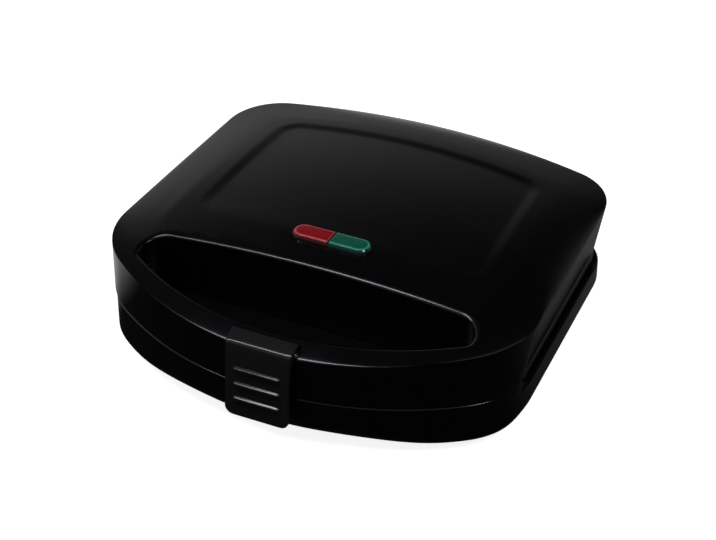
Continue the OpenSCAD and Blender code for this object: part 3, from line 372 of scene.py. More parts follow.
# %% Recess and base step
RECESS, RECESS_FRONT, RECESS_LEAN, RECESS_RAMP, RECESS_REAR = 5.2, -56.0, 0.36, 13.0, 0.35
BASE_IN, BASE_FRONT_Y, BASE_FULL_Y = 2.4, -80.0, -38.0


def recess_at(point, z):
    start = RECESS_FRONT + RECESS_LEAN * (z - DECK_Z)
    return RECESS * ease(point[1], start, start + RECESS_RAMP) * ease(
        abs(point[2]), RECESS_REAR, 2 * RECESS_REAR)


def base_at(point):
    return BASE_IN * ease(point[1], BASE_FRONT_Y, BASE_FULL_Y)


def wall_ring(share, extra=0.0):
    """A ring of the lid's side wall, from its lower edge (0) to the rim (1)."""
    ring = []
    for p in body_line:
        z = LID_Z + (rim_z(p[1]) - LID_Z) * share
        d = recess_at(p, z) * (1 - share) + extra
        ring.append((p[0] - p[2] * d, p[1] - p[3] * d, z))
    return ring


print(f"side recess: {max(recess_at(p, DECK_Z) for p in body_line):.1f} mm deep at the seam")

# %% Outer skin of the lid
EDGE = 0.45
SHOULDER_AT = (0, 0.12, 0.35, 0.7, 1.2, 1.9, 2.8, 3.9, 5.3, 7.0, 9.0, 11.2, 13.8, 16.8, LAST_RING)
lid_rings = [wall_ring(0, EDGE), wall_ring(0.005, EDGE * 0.3), wall_ring(0.015)]
lid_rings += [wall_ring(0.06 + 0.94 * i / 12) for i in range(12)]
lid_rings += [shoulder_ring(distance) for distance in SHOULDER_AT]
lid_rings += [blend_ring(i / 8) for i in range(1, 8)]
lid_rings += [panel_ring(0, 1, 0)]
lid_rings += [panel_ring(s, 1, ease(s, 0, 1)) for s in (0.12, 0.25, 0.38, 0.5, 0.62, 0.75, 0.88, 1)]
lid_rings += [panel_ring(1, k, 1) for k in (0.94, 0.87, 0.78, 0.68, 0.57, 0.46, 0.34, 0.22, 0.1)]
lid_housing = loft("lid_shell", lid_rings)
print("lid skin:", len(lid_rings), "rings")

# %% [markdown]
# ## The lid's inner side
# An injection-moulded lid is hollow, with a wall of one thickness. A second shell, a wall's
# thickness smaller, is the core of that mould. Before it is taken away from the skin, the bosses,
# the wall round the finger opening and the hinge blocks are taken out of it, so they stay.

# %% The mould's core
UNDER_RIM, UNDER_RIM_IN, RECESS_LEFT = 5.0, 1.0, 0.2
cavity_line = drawn_in(body_line, [WALL + recess_at(p, LID_Z) for p in body_line])
under_rim = []
for p in body_line:
    z = rim_z(p[1]) - UNDER_RIM
    d = WALL + UNDER_RIM_IN + recess_at(p, z) * RECESS_LEFT
    under_rim.append((p[0] - p[2] * d, p[1] - p[3] * d, z))
core_rings = [level(cavity_line, LID_Z - 1), under_rim, shoulder_ring(6, WALL + 1.2)]
core_rings += [shoulder_ring(10, WALL + 0.4), shoulder_ring(LAST_RING, WALL)]
core_rings += [blend_ring(t, WALL) for t in (0.33, 0.67)] + [panel_ring(0, 1, 0, WALL)]
core_rings += [panel_ring(1, k, 1, WALL) for k in (1, 0.66, 0.33)]
core = loft("core", core_rings)
print("core:", len(core_rings), "rings")

# %% Finger opening
OPEN_FRONT, OPEN_REAR, OPEN_HALF, OPEN_BOW = 98.9, 51.2, 93.4, 156.0
# The opening's lip, as steps outwards from its wall and down from the lid's top
OPEN_LIP = ((0, 2.4), (0.06, 1.7), (0.2, 1.1), (0.36, 0.85), (0.7, 0.62), (1.4, 0.33), (2.2, 0.11),
            (3.0, -0.03))
OPEN_TIP, OPEN_CORNER, STRAIGHT = 5.0, 12.0, 9000
tip_y = OPEN_BOW - OPEN_FRONT - math.sqrt((OPEN_BOW - OPEN_TIP) ** 2 - (OPEN_HALF - OPEN_TIP) ** 2)
open_corner = min(OPEN_CORNER, -OPEN_REAR - tip_y - 2)
opening_line = outline(OPEN_FRONT, OPEN_BOW, OPEN_HALF, 0, -OPEN_REAR, STRAIGHT, OPEN_TIP, open_corner,
                       counts=(40, 12, 2, 16, 30))


def over_top(x, y):
    """Height of the lid's top over a place, by the nearest point of the outline."""
    near = min(body_line, key=lambda q: (q[0] - x) ** 2 + (q[1] - y) ** 2)
    distance = (near[0] - x) * near[2] + (near[1] - y) * near[3]
    return on_top(x, y, max(0.0, distance), y)[2]


opening_rings = [level(opening_line, LID_Z - 1)]
for out, down in OPEN_LIP:
    ring = [(x + nx * out, y + ny * out) for x, y, nx, ny in opening_line]
    opening_rings.append([(x, y, over_top(x, y) - down) for x, y in ring])
opening_rings.append(level(drawn_in(opening_line, -OPEN_LIP[-1][0]), CROWN_Z + 10))
opening_cutter = loft("opening", opening_rings, pole=False)
opening_wall = slab("opening_wall", drawn_in(opening_line, -WALL), LID_Z, LID_Z + 60)
cut(core, opening_wall)
print("finger opening:", round(2 * OPEN_HALF), "mm wide")

# %% Bosses, guides, cheeks and hinge blocks that stay in the lid
LENS_Y, LENS_L, LENS_W = 29.2, 22.0, 6.2
FRAME_TOP = LID_Z + 2.9
LENS_FLANGE, LENS_GAP = 1.4, 0.3
LATCH_HALF, WELL_HALF, WELL_BACK, WELL_FLOOR, CHEEK = 18.0, 18.4, -101.0, 49.5, 7.0
LATCH_Y, LATCH_Z = -105.4, 54.2
HINGE_X, HINGE_Y, HINGE_Z, BARREL, KNUCKLE, LUG = 70.0, 113.948, 30.8, 4.6, 20.0, 6.0
FRAME_GAP, FRAME_BOSS_R, PILOT_R = 0.3, 3.3, 1.2
GUIDE_X, GUIDE_T, GUIDE_D = 25.3, 2.0, 17.2
HINGE_BLOCK, HINGE_BLOCK_FRONT, HINGE_BLOCK_REAR, HINGE_BLOCK_TOP = 14.0, 94.0, 124.0, 12.3
frame_screws = [(s * x, y) for s in (-1, 1) for x, y in ((104.5, -27), (92.5, 87.5), (28, 96.5))]
lens_seat = crown(LENS_L + LENS_FLANGE, -LENS_Y - LENS_W - LENS_FLANGE) - WALL - 0.75
holder_top = lens_seat - 1.7
for x, y in frame_screws:
    cut(core, rod("boss", (x, y, FRAME_TOP + FRAME_GAP), (x, y, CROWN_Z + 5), FRAME_BOSS_R, 32))
for side in (-1, 1):
    cut(core, block("guide",
                    (side * GUIDE_X - GUIDE_T / 2, -LENS_Y - GUIDE_D / 2, holder_top - 6),
                    (side * GUIDE_X + GUIDE_T / 2, -LENS_Y + GUIDE_D / 2, holder_top + 14)))
    cut(core, block("hinge_block",
                    (side * HINGE_X - HINGE_BLOCK, HINGE_BLOCK_FRONT, FRAME_TOP + FRAME_GAP),
                    (side * HINGE_X + HINGE_BLOCK, HINGE_BLOCK_REAR, FRAME_TOP + HINGE_BLOCK_TOP)))
cut(core, block("cheeks", (-WELL_HALF - CHEEK, -FRONT + 0.8, LID_Z + 6),
                (WELL_HALF + CHEEK, -FRONT + 11.8, LID_Z + 46)))
print("core with its bosses:", len(core.data.polygons), "faces")

# %% [markdown]
# ## Hinge knuckles
# The lid hangs on two knuckles behind its rear wall, each a barrel with an arm that runs into the
# lid. Barrel and arm are joined to the shell, as they are one moulding, and the pin's bore goes
# through last.


# %% Hinge helpers
LATCH_BORE_R, HINGE_BORE_R = 1.55, 2.05


def hinge_arm(name, x0, x1, low, high, arm_in, slope):
    """A barrel with its arm; slope is +1 for the lid's arm and -1 for the base's."""
    barrel = rod(name, (x0, HINGE_Y, HINGE_Z), (x1, HINGE_Y, HINGE_Z), BARREL)
    reach = math.radians(50)
    arm = [(HINGE_Y - arm_in, low), (HINGE_Y, low),
           (HINGE_Y + BARREL * math.cos(reach), HINGE_Z + slope * BARREL * math.sin(reach)),
           (HINGE_Y - arm_in, high)]
    return join(barrel, prism("arm", arm, x0, x1))


def hinge_bore(x0, x1):
    """The pin's bore, a little longer than the barrel that it goes through."""
    return rod("bore", (x0 - 1, HINGE_Y, HINGE_Z), (x1 + 1, HINGE_Y, HINGE_Z), HINGE_BORE_R)


# %% Putting the lid together
pin_end = WELL_HALF + 5.3
slot = [(x, y - LENS_Y) for x, y in stadium(LENS_L + LENS_GAP, LENS_W + LENS_GAP, 0, 24)]
cut(lid_housing, core, opening_cutter)
cut(lid_housing, block("well", (-WELL_HALF, -FRONT - 10, WELL_FLOOR),
                       (WELL_HALF, WELL_BACK, WELL_FLOOR + 30)))
cut(lid_housing, rod("pin_bore", (-pin_end, LATCH_Y, LATCH_Z), (pin_end, LATCH_Y, LATCH_Z),
                     LATCH_BORE_R, 32))
cut(lid_housing, slab("lens_slot", slot, 50, 90))
for x, y in frame_screws:
    cut(lid_housing, rod("pilot", (x, y, LID_Z), (x, y, LID_Z + 16), PILOT_R, 24))
for side in (-1, 1):
    x0 = side * HINGE_X - KNUCKLE / 2
    x1 = x0 + KNUCKLE
    join(lid_housing, hinge_arm("knuckle", x0, x1, LID_Z + 0.2, HINGE_Z + BARREL + 6, 13, 1))
    cut(lid_housing, hinge_bore(x0, x1))
finish_surface(lid_housing)

# %% [markdown]
# ## The base
# The base is a tray with a rolled lower edge. Above a thin lip its walls step back into the side
# recess, and a narrow channel runs along the foot of that step. As rings, the whole outside is one
# loft, and the channel is one more cutter.

# %% Outer skin of the base
LEDGE_Z, CHANNEL_W, CHANNEL_D = 22.8, 1.6, 3.0
ROLL_W, ROLL_H = 12.4, 9.0
ROLL_MORE_W, ROLL_MORE_H = 5.0, 6.0
base_line = drawn_in(body_line, [base_at(p) for p in body_line])


def roll_share(point):
    """1 in the middle of the front, where the roll is largest, -0.5 at its corners, 0 elsewhere."""
    return 1.5 * ease(-point[3], 0.8, 0.99) ** 2 - 0.5 * ease(-point[3], 0.1, 0.55)


step_in = [max(0.0, recess_at(p, DECK_Z) - base_at(p)) for p in body_line]
base_rings = []
for step in range(13):
    a = math.radians(7.5 * step)
    ring = []
    for p in base_line:
        wide, high = ROLL_W + ROLL_MORE_W * roll_share(p), ROLL_H + ROLL_MORE_H * roll_share(p)
        d = wide * (1 - math.sin(a))
        ring.append((p[0] - p[2] * d, p[1] - p[3] * d, BASE_Z + high * (1 - math.cos(a))))
    base_rings.append(ring)
for step in range(1, 5):
    ring = []
    for p in base_line:
        top = BASE_Z + ROLL_H + ROLL_MORE_H * roll_share(p)
        ring.append((p[0], p[1], top + (LEDGE_Z - 1.4 - top) * step / 4))
    base_rings.append(ring)
for share, rise in ((0, -0.6), (0.04, -0.25), (0.12, -0.06), (0.3, 0), (0.9, 0.01), (0.98, 0.06),
                    (1, 0.3)):
    base_rings.append(level(drawn_in(base_line, [s * share for s in step_in]), LEDGE_Z + rise))
for z, edge in ((25.5, 0), (28.2, 0), (DECK_Z - 0.9, 0), (DECK_Z - 0.6, 0.05),
                (DECK_Z - 0.26, 0.26), (DECK_Z - 0.05, 0.6), (DECK_Z, 0.9)):
    base_rings.append(level(drawn_in(base_line, [s + edge for s in step_in]), z))
base_housing = loft("base_shell", base_rings)
print("base skin:", len(base_rings), "rings")

# %% Inside of the base, with the ledge that carries the plate
PLATE_Y, PLATE_T, PLATE_W, PLATE_D = 19.5, 2.4, 194.0, 126.0
PLATE_GAP, SCREW_INSET = 0.4, 6.6
MID_Z = DECK_Z + SEAM / 2
LOWER_FACE = MID_Z - 0.15
base_inner = drawn_in(body_line, [WALL + max(base_at(p), recess_at(p, DECK_Z)) for p in body_line])


def plate_outline(grow, corner=14.0, steps=10):
    """Rounded rectangle round a cooking plate, grown by a distance."""
    r, w, d = corner + grow, PLATE_W / 2 + grow, PLATE_D / 2 + grow
    points = []
    for cx, cy, start in ((1, -1, -90), (1, 1, 0), (-1, 1, 90), (-1, -1, 180)):
        for i in range(steps + 1):
            a = math.radians(start + 90 * i / steps)
            points.append((cx * (w - r) + r * math.cos(a),
                           PLATE_Y + cy * (d - r) + r * math.sin(a)))
    return points


hollow_rings = [level(drawn_in(base_inner, ROLL_W), BASE_Z - 1)]
for degrees in range(0, 91, 15):
    a = math.radians(degrees)
    hollow_rings.append(level(drawn_in(base_inner, ROLL_W * (1 - math.sin(a))),
                              BASE_Z + WALL * math.cos(a) + ROLL_H * (1 - math.cos(a))))
hollow_rings.append(level(base_inner, DECK_Z - 2.6))
hollow = loft("hollow", hollow_rings, pole=False)

# %% The ledge, its tabs and the bosses
LEDGE_TOP, LEDGE_LOW = LOWER_FACE - PLATE_T - 0.3, LOWER_FACE - PLATE_T - 3.0
TAB_R, TAB_HOLE_R, COVER_BOSS_R = 5.8, 3.2, 3.4
plate_screws = [(sx * (PLATE_W / 2 - SCREW_INSET), PLATE_Y + sy * (PLATE_D / 2 - SCREW_INSET))
                for sx in (-1, 1) for sy in (-1, 1)]
cut(hollow, slab("ledge_ring", plate_outline(PLATE_GAP + WALL), LEDGE_LOW, LOWER_FACE - PLATE_T / 2))
cover_screws = [(s * x, y) for s in (-1, 1) for x, y in ((82, -53), (30, -82), (28, 89))]
for x, y in cover_screws:
    cut(hollow, rod("boss", (x, y, BASE_Z + 2.7), (x, y, DECK_Z + 4), COVER_BOSS_R, 32))
cut(base_housing, hollow)
well = slab("plate_well", plate_outline(PLATE_GAP), LEDGE_TOP, LOWER_FACE + 5)
window = slab("ledge_window", plate_outline(-5), LEDGE_LOW - 1, LOWER_FACE)
for x, y in plate_screws:
    cut(window, rod("tab", (x, y, LEDGE_LOW - 2), (x, y, LEDGE_LOW + 2.7), TAB_R))
cut(base_housing, well, window)
for x, y in plate_screws:
    cut(base_housing, rod("hole", (x, y, LEDGE_LOW - 1), (x, y, LEDGE_LOW + 3.7), TAB_HOLE_R, 32))
print("base with its ledge:", len(base_housing.data.polygons), "faces")

# %% Channel, catch window, screw holes, inlet and lugs
CHANNEL_FRONT, CHANNEL_REAR = -40.0, 88.0
CATCH_HALF, CATCH_LOW, CATCH_HIGH = 10.8, 14.6, 22.9
INLET_Y, INLET_Z, INLET_R = 107.6, 19.5, 5.7
outer = drawn_in(body_line, [recess_at(p, DECK_Z) - CHANNEL_W for p in body_line])
inner = drawn_in(body_line, [recess_at(p, DECK_Z) for p in body_line])
for side in (-1, 1):
    run = [(o, i) for o, i in zip(outer, inner)
           if o[0] * side > 60 and CHANNEL_FRONT < o[1] < CHANNEL_REAR]
    run.sort(key=lambda pair: pair[0][1])
    ring = [p[0] for p in run] + [p[1] for p in run[::-1]]
    cut(base_housing, slab("channel", ring, LEDGE_Z - CHANNEL_D, LEDGE_Z + 0.6))
cut(base_housing, block("catch", (-CATCH_HALF, -FRONT - 6, CATCH_LOW),
                        (CATCH_HALF, -FRONT + 8, CATCH_HIGH)))
for x, y in cover_screws:
    cut(base_housing, rod("pilot", (x, y, BASE_Z + 0.2), (x, y, BASE_Z + 14.2), PILOT_R, 24))
cut(base_housing, rod("inlet", (0, INLET_Y - 10, INLET_Z), (0, INLET_Y + 10, INLET_Z), INLET_R))
for side in (-1, 1):
    for way in (-1, 1):
        middle = side * HINGE_X + way * (KNUCKLE / 2 + 0.4 + LUG / 2)
        x0, x1 = middle - LUG / 2, middle + LUG / 2
        join(base_housing, hinge_arm("lug", x0, x1, DECK_Z - 0.2, HINGE_Z - BARREL - 7, 14, -1))
        cut(base_housing, hinge_bore(x0, x1))
finish_surface(base_housing)

# %% [markdown]
# ## The latch
# The latch is a bent flap with three grip ribs. Its face is a grid that is set onto the bent and
# bowed form, given its thickness by Solidify, and its edges are rounded by Bevel. Such a small
# radius all round catches the light, as the bright line along its sides shows.

# %% The latch's flap
LATCH_TOP, LATCH_BEND, LATCH_LOW, LATCH_T = 61.0, 58.2, 16.0, 2.6
PROUD_TOP, PROUD_LOW, LATCH_BOW, WAIST, LATCH_CORNER, LATCH_EDGE = 3.4, 7.0, 0.8, 0.7, 5.0, 0.8
LATCH_BACK = -FRONT + 5.2


def latch_proud(t):
    return PROUD_TOP + (PROUD_LOW - PROUD_TOP) * t + 4 * LATCH_BOW * t * (1 - t)


def latch_profile(t):
    """A point (y, z) of the latch's face, from its bend (0) to its lower end (1)."""
    return -FRONT - latch_proud(t), LATCH_BEND + (LATCH_LOW - LATCH_BEND) * t


def latch_half_width(z):
    mid, half = (LATCH_TOP + LATCH_LOW) / 2, (LATCH_TOP - LATCH_LOW) / 2
    width = LATCH_HALF - WAIST * (1 - ((z - mid) / half) ** 2)
    low = LATCH_LOW + LATCH_CORNER - z
    if low > 0:
        width -= LATCH_CORNER - math.sqrt(max(0.0, LATCH_CORNER ** 2 - low ** 2))
    return width


profile = [(LATCH_BACK, LATCH_TOP), (-FRONT + 2, LATCH_TOP - 0.9), (-FRONT - 1.2, LATCH_TOP - 1.75),
           (-FRONT - 2.6, LATCH_BEND + 0.55), (-FRONT - 3.15, LATCH_BEND + 0.1)]
profile += [latch_profile(t) for t in (0.02, 0.08, 0.16, 0.26, 0.36, 0.46, 0.56, 0.66, 0.76, 0.84,
                                       0.89, 0.925, 0.95, 0.968, 0.982, 0.992, 1.0)]
COLUMNS = 13
deselect()
bpy.ops.mesh.primitive_grid_add(x_subdivisions=COLUMNS - 1, y_subdivisions=len(profile) - 1, size=1)
latch = bpy.context.object
latch.name = latch.data.name = "latch_flap"
for i, vert in enumerate(sorted(latch.data.vertices, key=lambda v: (round(-v.co.y, 4), v.co.x))):
    y, z = profile[i // COLUMNS]
    across = (i % COLUMNS) / (COLUMNS - 1) * 2 - 1
    vert.co = Vector((across * latch_half_width(z), y, z)) * MM
apply(latch, "SOLIDIFY", thickness=LATCH_T * MM, offset=-1.0)
apply(latch, "BEVEL", width=LATCH_EDGE * MM, segments=3, limit_method="ANGLE",
      angle_limit=math.radians(50))
print("latch flap:", len(latch.data.polygons), "faces")


# %% [markdown]
# ## Ribs, hub and hook
# The three grip ribs are low bars with round ends. Each one is a small loft of ring upon ring, first
# upright and then narrowing to its rounded top, laid on the flap at its own slope. Hub and hook are
# the hidden half of the latch, and one moulding with the flap.

# %% The latch's ribs
RIB_HALF, RIB_H, RIB_FIRST, RIB_STEP, RIB_COUNT = 13.0, 2.8, 0.34, 0.205, 3
# A rib's form from its foot to its top, as steps inwards and proud of the flap
RIB_FORM = ((0, -0.6), (0, 0), (0.12, 0.2), (0.35, 0.6), (0.6, 1.02), (0.7, 1.15), (0.85, 1.23),
            (1.1, 1.28))


def rib(t):
    y, z = latch_profile(t)
    y2, z2 = latch_profile(t + 0.02)
    down = Vector((0, y2 - y, z2 - z)).normalized()
    outward = Vector((0, down.z, -down.y))
    rings = []
    for inset, proud in RIB_FORM:
        rings.append([Vector((u, y, z)) - down * v + outward * proud
                      for u, v in stadium(RIB_HALF, RIB_H / 2, inset)])
    return loft("rib", rings)


join(latch, *[rib(RIB_FIRST + i * RIB_STEP) for i in range(RIB_COUNT)])
print("latch with", RIB_COUNT, "ribs:", len(latch.data.polygons), "faces")

# %% Hub and hook behind the flap
BOSS_HALF, BOSS_R = WELL_HALF - 1.2, 2.9
hub = rod("hub", (-BOSS_HALF, LATCH_Y, LATCH_Z), (BOSS_HALF, LATCH_Y, LATCH_Z), BOSS_R)
web = prism("web", [(LATCH_Y, LATCH_Z - BOSS_R), (LATCH_Y, LATCH_TOP - LATCH_T),
                    (-FRONT - 1.6, LATCH_BEND - 1), (-FRONT - 2.2, LATCH_Z - BOSS_R)],
            -BOSS_HALF, BOSS_HALF)
HOOK_Z, HOOK_T, HOOK_REACH, HOOK_HALF = 19.6, 2.6, 4.8, 10
root, point = -FRONT - latch_proud(0.9) + LATCH_T / 2, -FRONT + HOOK_REACH
hook = prism("hook", [(root, HOOK_Z), (root, HOOK_Z + HOOK_T), (point - 1, HOOK_Z + HOOK_T),
                      (point, HOOK_Z + HOOK_T - 0.6), (point, HOOK_Z + 0.8), (point - 0.8, HOOK_Z)],
             -HOOK_HALF, HOOK_HALF)
join(latch, hub, web, hook)
cut(latch, rod("pin_bore", (-20, LATCH_Y, LATCH_Z), (20, LATCH_Y, LATCH_Z), LATCH_BORE_R))
finish_surface(latch, 40)

# %% [markdown]
# ## The two-colour lens
# Over the lamps sits a pill of clear plastic, red on one half and green on the other. Each half is
# half a pill with a flange below the lid and a bevelled, softly domed top.

# %% Lens halves
LENS_RISE, LENS_SLANT = 2.4, 0.4
# The cap above the lid, as steps outwards from the pill's side and up from its top
LENS_FORM = ((0, -1.7), (-0.04, -1.55), (-0.14, -1.42), (-0.5, -1.0), (-1.0, -0.48), (-1.2, -0.29),
             (-1.36, -0.18), (-1.6, -0.1), (-2.4, -0.04), (-4.0, 0))
lens_top = crown(0, -LENS_Y) + LENS_RISE


def half_pill(side, width, split=0.05):
    """Half of a pill seen from above; side is -1 for the left half and 1 for the right one."""
    centre = LENS_L - LENS_W
    split += LENS_SLANT * max(0.0, LENS_W - width)
    points = [(split, width), (split, -width)]
    for i in range(25):
        a = math.radians(-90 + 180 * i / 24)
        points.append((centre + width * math.cos(a), width * math.sin(a)))
    points = [(side * x, y - LENS_Y) for x, y in points]
    return points if side > 0 else points[::-1]


def lens_half(name, side):
    stations = [(LENS_FLANGE, lens_seat - 1.4), (LENS_FLANGE, lens_seat - 0.1),
                (LENS_FLANGE - 0.1, lens_seat), (0, lens_seat + 0.02)]
    stations += [(grow, lens_top + rise) for grow, rise in LENS_FORM]
    rings = [level(half_pill(side, LENS_W + grow), z) for grow, z in stations]
    return finish_surface(loft(name, rings), 28)


lens_red = lens_half("lens_cap_red", -1)
lens_green = lens_half("lens_cap_green", 1)

# %% [markdown]
# ## Which body each new piece rides on
# Each new piece replaces one node of the machine model and moves with the same body.

# %% Bodies, replaced nodes and finishes
for piece, body, old_node, slot_name in (
        (lid_housing, "lid", "lid_housing", "gloss_black"),
        (base_housing, "base", "base_housing", "gloss_black"),
        (latch, "latch", "latch", "gloss_black"),
        (lens_red, "lid", "lens_red", "lens_red"),
        (lens_green, "lid", "lens_green", "lens_green")):
    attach(piece, body)
    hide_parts(old_node)
    print(f"{piece.name} replaces {old_node} on the {body}")

# %% [markdown]
# ## Shader groups
# Plastics, steel and coating share a few effects: the faint unevenness of a moulded face, a fine
# grain, and dust or wear that changes the gloss from place to place. Each effect is one node group
# with named sockets, and every material gives it its own values.


# %% Helpers for node trees
def node(tree, kind, inputs=None, **values):
    """A shader node with its values; an input may be a number, a colour or another socket."""
    made = tree.nodes.new(kind)
    for key, value in values.items():
        setattr(made, key, value)
    for key, value in (inputs or {}).items():
        if isinstance(value, bpy.types.NodeSocket):
            tree.links.new(value, made.inputs[key])
        else:
            made.inputs[key].default_value = value
    return made


def group(name, inputs, outputs):
    """An empty node group with named number inputs and outputs."""
    tree = bpy.data.node_groups.new(name, "ShaderNodeTree")
    for label, default in inputs:
        socket = tree.interface.new_socket(label, in_out="INPUT", socket_type="NodeSocketFloat")
        socket.default_value = default
    tree.interface.new_socket("Place", in_out="INPUT", socket_type="NodeSocketVector")
    for label in outputs:
        tree.interface.new_socket(label, in_out="OUTPUT", socket_type="NodeSocketFloat")
    return (tree, tree.nodes.new("NodeGroupInput").outputs,
            tree.nodes.new("NodeGroupOutput").inputs)


# %% Groups: uneven gloss, fine grain, speckle and brushed lines
gloss_tree, take, give = group(
    "uneven_gloss", (("Low", 0.1), ("High", 0.2), ("Scale", 60.0)), ("Roughness",))
broad = node(gloss_tree, "ShaderNodeTexNoise",
             {"Vector": take["Place"], "Scale": take["Scale"], "Detail": 5.0, "Roughness": 0.6})
spread = node(gloss_tree, "ShaderNodeMapRange",
              {"Value": broad.outputs["Fac"], "From Min": 0.3, "From Max": 0.7,
               "To Min": take["Low"], "To Max": take["High"]})
gloss_tree.links.new(spread.outputs["Result"], give["Roughness"])

grain_tree, take, give = group("fine_grain", (("Scale", 900.0),), ("Height",))
fine = node(grain_tree, "ShaderNodeTexNoise",
            {"Vector": take["Place"], "Scale": take["Scale"], "Detail": 3.0})
grain_tree.links.new(fine.outputs["Fac"], give["Height"])

SPECK_EDGE = 0.08
speck_tree, take, give = group("speckle", (("Scale", 1500.0), ("Share", 0.2)), ("Mask",))
cells = node(speck_tree, "ShaderNodeTexVoronoi",
             {"Vector": take["Place"], "Scale": take["Scale"]})
edge = node(speck_tree, "ShaderNodeMath", {0: take["Share"], 1: SPECK_EDGE}, operation="ADD")
mask = node(speck_tree, "ShaderNodeMapRange",
            {"Value": cells.outputs["Distance"], "From Min": take["Share"],
             "From Max": edge.outputs[0], "To Min": 1.0, "To Max": 0.0})
speck_tree.links.new(mask.outputs["Result"], give["Mask"])

brush_tree, take, give = group("brushed", (("Along", 30.0), ("Across", 1500.0)), ("Lines",))
stretch = node(brush_tree, "ShaderNodeCombineXYZ",
               {"X": take["Along"], "Y": take["Across"], "Z": take["Across"]})
stretched = node(brush_tree, "ShaderNodeVectorMath",
                 {0: take["Place"], 1: stretch.outputs[0]}, operation="MULTIPLY")
lines = node(brush_tree, "ShaderNodeTexNoise",
             {"Vector": stretched.outputs[0], "Scale": 1.0, "Detail": 2.0})
brush_tree.links.new(lines.outputs["Fac"], give["Lines"])
print("shader groups:", [t.name for t in bpy.data.node_groups if t.name != "Smooth by Angle"])


# %% [markdown]
# ## Materials
# Every finish starts from one Principled shader. What is the same all over is set on the shader, and
# what changes over the surface comes from a group. One helper puts a whole finish together, so that
# each finish is one short list of values.


# %% Material helpers
def material(name, colour, **values):
    """A Principled material; the values are set on the shader's own sockets."""
    made = bpy.data.materials.new(name)
    made.use_nodes = True
    tree = made.node_tree
    shader = tree.nodes["Principled BSDF"]
    shader.inputs["Base Color"].default_value = (*colour, 1)
    for key, value in values.items():
        shader.inputs[key.replace("_", " ")].default_value = value
    place = tree.nodes.new("ShaderNodeTexCoord").outputs["Object"]
    return made, tree, shader, place


def use_group(tree, name, place, **values):
    made = tree.nodes.new("ShaderNodeGroup")
    made.node_tree = bpy.data.node_groups[name]
    tree.links.new(place, made.inputs["Place"])
    for key, value in values.items():
        made.inputs[key].default_value = value
    return made


def uneven(tree, shader, place, low, high, scale):
    made = use_group(tree, "uneven_gloss", place, Low=low, High=high, Scale=scale)
    tree.links.new(made.outputs["Roughness"], shader.inputs["Roughness"])


def bumped(tree, shader, height, strength, distance):
    bump = node(tree, "ShaderNodeBump", {"Strength": strength, "Distance": distance, "Height": height})
    tree.links.new(bump.outputs["Normal"], shader.inputs["Normal"])


def two_tone(tree, shader, mask, first, second):
    """Mixes two colours by a mask; the first may come from another node."""
    mix = node(tree, "ShaderNodeMix", data_type="RGBA")
    tree.links.new(mask, mix.inputs["Factor"])
    if isinstance(first, bpy.types.NodeSocket):
        tree.links.new(first, mix.inputs["A"])
    else:
        mix.inputs["A"].default_value = (*first, 1)
    mix.inputs["B"].default_value = (*second, 1)
    tree.links.new(mix.outputs["Result"], shader.inputs["Base Color"])


def finish(name, colour, gloss, grain=None, tones=None, **values):
    """
    A whole finish. gloss is (low, high, scale) of the roughness, grain is (scale, strength,
    distance) of the bump, and tones is (group, output, its values, first colour, second colour).
    """
    made, tree, shader, place = material(name, colour, **values)
    uneven(tree, shader, place, *gloss)
    if grain:
        scale, strength, distance = grain
        height = use_group(tree, "fine_grain", place, Scale=scale).outputs["Height"]
        bumped(tree, shader, height, strength, distance)
    if tones:
        effect, output, settings, first, second = tones
        mask = use_group(tree, effect, place, **settings).outputs[output]
        two_tone(tree, shader, mask, first, second)
    print("finish:", name)
    return made


# %% [markdown]
# ## Gloss and dull plastics
# The housings come out of polished moulds, so their black is deep and smooth, with a faint orange
# peel that bends reflections a little. The colour itself is almost nothing: what is seen is the
# room. Pieces inside come from plain moulds, and their dull grain spreads the light. The plates'
# coating is sprayed on, with pale mineral specks in it.

# %% Gloss black plastic of the housings and the latch
gloss_black = finish("gloss_black_plastic", (0.0019, 0.0016, 0.0021), (0.15, 0.21, 45.0),
                     (160.0, 0.25, 0.00004), Specular_Tint=(0.96, 0.88, 1.0, 1.0))
# The latch's black is lighter than the housings': that lighter colour paints the satin sheen of its
# face.
latch_sheen_black = finish("latch_black_plastic", (0.015, 0.014, 0.016), (0.15, 0.22, 90.0),
                     (500.0, 0.25, 0.00003))

# %% Inner plastic, rubber and the plates' coating
satin_black = finish("satin_black_plastic", (0.022, 0.022, 0.024), (0.38, 0.52, 70.0),
                     (1800.0, 0.35, 0.0001))
rubber = finish("rubber", (0.022, 0.022, 0.022), (0.6, 0.8, 120.0), (2600.0, 0.5, 0.0001),
                Specular_IOR_Level=0.35)
coating = finish("plate_coating", (0.07, 0.07, 0.074), (0.26, 0.4, 80.0), (900.0, 0.3, 0.00012),
                 ("speckle", "Mask", {"Scale": 1300.0, "Share": 0.16},
                  (0.06, 0.06, 0.064), (0.2, 0.2, 0.21)))

# %% [markdown]
# ## Metals, ceramic and lamps
# Screws, pins and elements are drawn steel, so fine lines run along them. The heat shields are
# plated sheet, whose crystals show as patches. The small parts near the heat are ceramic.

# %% Metals
steel = finish("bare_steel", (0.52, 0.53, 0.55), (0.22, 0.4, 150.0), None,
               ("brushed", "Lines", {"Along": 60.0, "Across": 2200.0},
                (0.42, 0.43, 0.45), (0.62, 0.63, 0.65)), Metallic=1.0)
sheet = finish("sheet_metal", (0.5, 0.5, 0.5), (0.3, 0.5, 60.0), None,
               ("speckle", "Mask", {"Scale": 180.0, "Share": 0.35},
                (0.4, 0.41, 0.42), (0.58, 0.59, 0.6)), Metallic=1.0)

